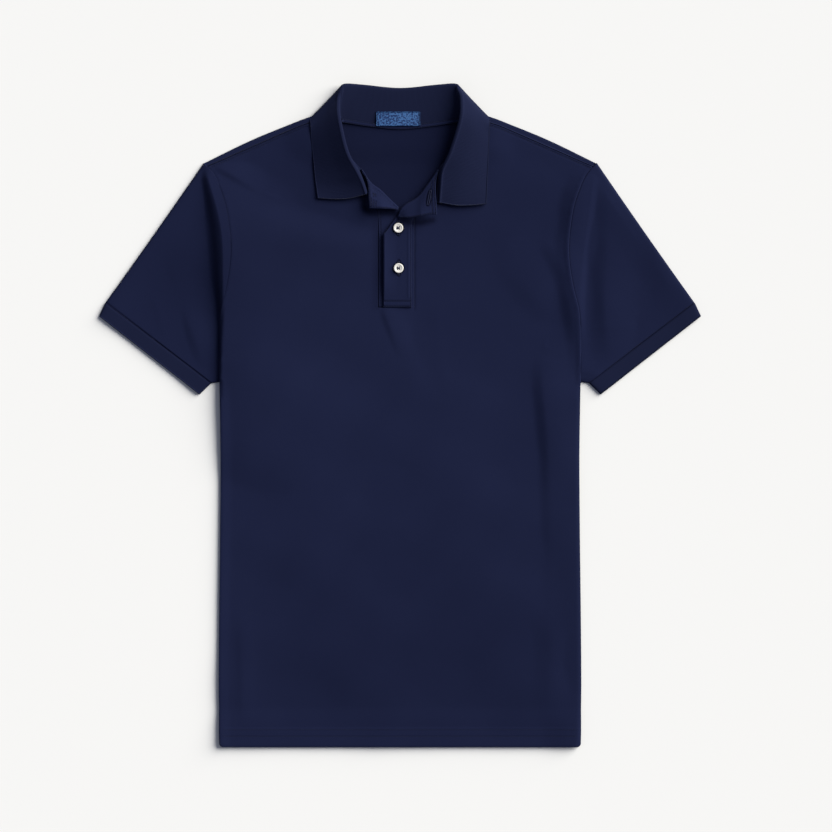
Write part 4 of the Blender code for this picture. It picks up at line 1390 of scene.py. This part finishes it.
def frontSewing():
    # hem rows, shoulder rows and the row beside the placket
    paths = [onSurface(line, frontTop, rise=0.12) for line in frontRows]
    # painted shade along the stitched rows
    pressAndPaintShade(frontPanel, paths[:2], 0.15)
    pressAndPaintShade(frontPanel, paths[2:4], 0.4)
    pressAndPaintShade(frontPanel, paths[4:], 0.2)
    # painted shade in the hollow of the left armhole, on the front and on the sleeve
    ys = np.arange(120, 270, 4.0)
    depth = readTable(drape["step"], ys)
    hollow = onSurface(np.stack([depth[:, 1] * 0.45 - depth[:, 0], ys], 1), frontTop)
    pressAndPaintShade(frontPanel, [hollow], 0.4, 0, 5)
    pressAndPaintShade(sleeves[0], [hollow], 0.4, 0, 5)
    # painted shade below both lapels and beside the slit
    below = [onSurface(line, frontTop) for line in (
        [(-44, 256), (-42.5, 240), (-36, 232), (-12, 230)], [(14, 220), (24, 220.5), (37, 223)])]
    x = frontCloth["slitLeft"] - 0.8
    slitSide = onSurface([(x, 123), (x, 226)], frontTop)
    for piece, line, strength, half in (
            (frontPanel, below[0], 0.8, 4), (frontPanel, below[1], 0.8, 4),
            (placketUnder, [(-22, 231.5, 4), (-6, 230.5, 4)], 0.8, 4),
            (placketOver, [(4, 221, 5), (12.5, 220, 5)], 0.7, 3.5),
            (frontPanel, slitSide, 0.45, 1.5), (frontPanel, slitSide - (3.5, 0, 0), 0.22, 4)):
        pressAndPaintShade(piece, [line], strength, 0, half)
    made = makeObject("frontSewing", *joined(*[stitches(path) for path in paths]), navyThread)
    return made


def placketSewing():
    thick = cloth["band"]
    strip, lean = placket["stripRows"], placket["leanRows"]
    flap = strip + lean + placket["bendRows"]
    last = flap + placket["flapRows"] - 2
    perRow = (strip - 1) / (placket["stripTop"] - placket["over"]["foot"])
    box = 7.5 * perRow      # the upper row of the box at the foot
    rows = {
        "over": [
            ((1.5 * perRow, 0.955), (strip + 0.3 * lean, 0.955)),
            ((box, 0.045), (box, 0.955)),
            ((1.5 * perRow, 0.045), (1.5 * perRow, 0.955)),
            ((flap + 2, 0.965), (last - 1, 0.965)),
            ((flap + 2, 0.88), (last - 1, 0.88)),
            ((last - 2, 0.12), (last - 2, 0.965)),
        ],
        "under": [
            ((2, 0.09), (strip + 0.4 * lean, 0.09)),
            ((flap + 2, 0.04), (last - 1, 0.04)),
            ((last - 2, 0.04), (last - 2, 0.9)),
            ((last - 15, 0.10), (last - 2, 0.09)),
            ((last - 15, 0.19), (last - 2, 0.16)),
            ((last - 15, 0.27), (last - 2, 0.235)),
        ],
    }
    parts = []
    for piece, grid, side in ((placketOver, overGrid, "over"), (placketUnder, underGrid, "under")):
        lines = [gridLine(grid, thick, start, end) for start, end in rows[side]]
        # the stitched rows press dents with painted shade along them
        pressAndPaintShade(piece, [lines[0][0]], 0.35, 0.3, 0.7)
        pressAndPaintShade(piece, [path for path, _ in lines[1:]], 0.85, 0.4, 0.75)
        parts += [stitches(path - (0, 0, 0.2), up=up) for path, up in lines]
    flapGrid = overGrid[flap:]
    stripGrid = overGrid[:strip + lean // 2]
    holes = [(flapGrid, (33.3, 248.3), 17, 10.7)]
    holes += [(stripGrid, button["places"][node][:2], 16, 0) for node in button["fastened"]]
    for grid, middle, length, leanAngle in holes:
        stitched, slit, ring = buttonhole(grid, thick, np.array(middle), length, leanAngle)
        parts += stitched
        # painted shade in each buttonhole's slit and round it
        pressAndPaintShade(placketOver, [slit], 1.0, 0.5, 0.8)
        pressAndPaintShade(placketOver, [ring], 1.0, 0.5, 0.9)
    # the buttons press their outline into the placket, with a ring of painted shade round each
    turn = np.radians(np.arange(0, 365, 8))
    for node in button["fastened"]:
        around = button["places"][node][:2] + 6.1 * np.column_stack([np.cos(turn), np.sin(turn)])
        pressAndPaintShade(placketOver, [onGrid(stripGrid, around, thick / 2)], 0.9, 0.1, 1.1)
    # the neck button's thread, seen on the inside of the lapel, with painted shade under its marks
    flapGrid = underGrid[flap:]
    marks = []
    for x, y, dx, dy in ((-30.2, 251.2, 0.2, 3.2), (-27.9, 251.4, -0.2, 3.0),
                         (-30.0, 253.0, 2.2, -0.8)):
        ends = np.array([(x - dx / 2, y - dy / 2), (x + dx / 2, y + dy / 2)])
        marks.append(onGrid(flapGrid, ends, thick / 2 + 0.1))
        parts.append(stitches(marks[-1], math.hypot(dx, dy), 0.05, 0.3))
    pressAndPaintShade(placketUnder, marks, 1.0, 0.2, 0.6)
    made = makeObject("placketSewing", *joined(*parts), navyThread)
    return made


def neckSewing():
    # both edges of the tape and the label's ends
    parts = []
    last = tapeGrid.shape[0] - 1
    lines = [gridLine(tapeGrid, cloth["tape"], (0, edge), (last, edge)) for edge in (0.12, 0.88)]
    # painted shade along both stitched rows of the tape
    pressAndPaintShade(neckTape, [path for path, _ in lines], 0.8, 0.2, 0.6)
    parts += [stitches(path, up=up) for path, up in lines]
    last = labelGrid.shape[0] - 1
    for row in (1.2, last - 1.2):
        path, up = gridLine(labelGrid, label["thick"], (row, 0.04), (row, 0.96))
        parts.append(stitches(path, 1.6, 0.3, 0.16, up))
    made = makeObject("neckSewing", *joined(*parts), navyThread)
    return made


def shadeSeams():
    # painted shade along the lines where two pieces meet
    top, low = np.array(sleeve["hemTop"]), np.array(sleeve["hemLow"])
    for sign, piece, band in zip((-1, 1), sleeves, cuffs):
        t = np.linspace(0, 1, 80)[:, None]
        places = (top + (low - top) * t) * (sign, 1)
        for level in (2.2, 3.4):
            seam = [np.column_stack([places, np.full(len(places), level)])]
            for target in (piece, band):
                pressAndPaintShade(target, seam, 0.95 if sign < 0 else 0.45, 0, 0.9)
    edge = besideEdge(-0.8, 100, 283)
    top = cloth["pique"] * 2 + cloth["gap"] + sleeve["edgePuff"] + relief(edge[:, 0], edge[:, 1])
    for drop in (0, 0.8):
        seam = [np.column_stack([edge, top - drop])]
        pressAndPaintShade(sleeves[1], seam, 0.6, 0, 0.9)


sewing = frontSewing()
placketThread = placketSewing()
neckThread = neckSewing()
shadeSeams()
print("sewing done")


# ---- floor, light and camera

studio = {
    "floor": (0.88, 0.88, 0.88, 1),
    "skyColor": (0.86, 0.94, 1.20, 1),
    "skyStrength": 0.19,
    "sunColor": (1.035, 1.012, 0.94),
    "sunStrength": 5.35,
    "sunElevation": 30.5,
    "sunAzimuth": 32,      # degrees from +X towards +Y
    "sunAngle": 52,
    "viewWidth": 952.6,
    "viewCentre": (18.3, -1.1),
    "cameraHeight": 6000,
    "sensor": 36,
    "floorReach": 12.0,
}


def makeStudio():
    floorMesh = bpy.data.meshes.new("floor")
    corners = [(x * studio["floorReach"], y * studio["floorReach"], 0)
               for x, y in ((-1, -1), (1, -1), (1, 1), (-1, 1))]
    floorMesh.from_pydata(corners, [], [(0, 1, 2, 3)])
    floor = addObject("floor", floorMesh)
    floor.location.z = -0.0002
    floorMesh.materials.append(newMaterial("paper", {
        "Base Color": studio["floor"], "Roughness": 0.9, "Specular IOR Level": 0.1})[0])

    world = bpy.data.worlds.new("studio")
    bpy.context.scene.world = world
    world.use_nodes = True
    sky = world.node_tree.nodes["Background"]
    sky.inputs["Color"].default_value = studio["skyColor"]
    sky.inputs["Strength"].default_value = studio["skyStrength"]

    sun = bpy.data.lights.new("window", "SUN")
    sun.energy = studio["sunStrength"]
    sun.color = studio["sunColor"]
    sun.angle = math.radians(studio["sunAngle"])
    lamp = addObject("window", sun)
    elevation, azimuth = math.radians(studio["sunElevation"]), math.radians(studio["sunAzimuth"])
    toLight = Vector((math.cos(elevation) * math.cos(azimuth),
                      math.cos(elevation) * math.sin(azimuth), math.sin(elevation)))
    lamp.rotation_mode = "QUATERNION"
    lamp.rotation_quaternion = toLight.to_track_quat("Z", "Y")

    lens = bpy.data.cameras.new("camera")
    lens.sensor_width = studio["sensor"]
    lens.lens = studio["sensor"] * studio["cameraHeight"] / studio["viewWidth"]
    lens.clip_end = 50
    camera = addObject("camera", lens)
    x, y = studio["viewCentre"]
    camera.location = Vector((x, y, studio["cameraHeight"])) * mm
    bpy.context.scene.camera = camera
    bpy.context.scene.view_settings.view_transform = "Standard"


makeStudio()
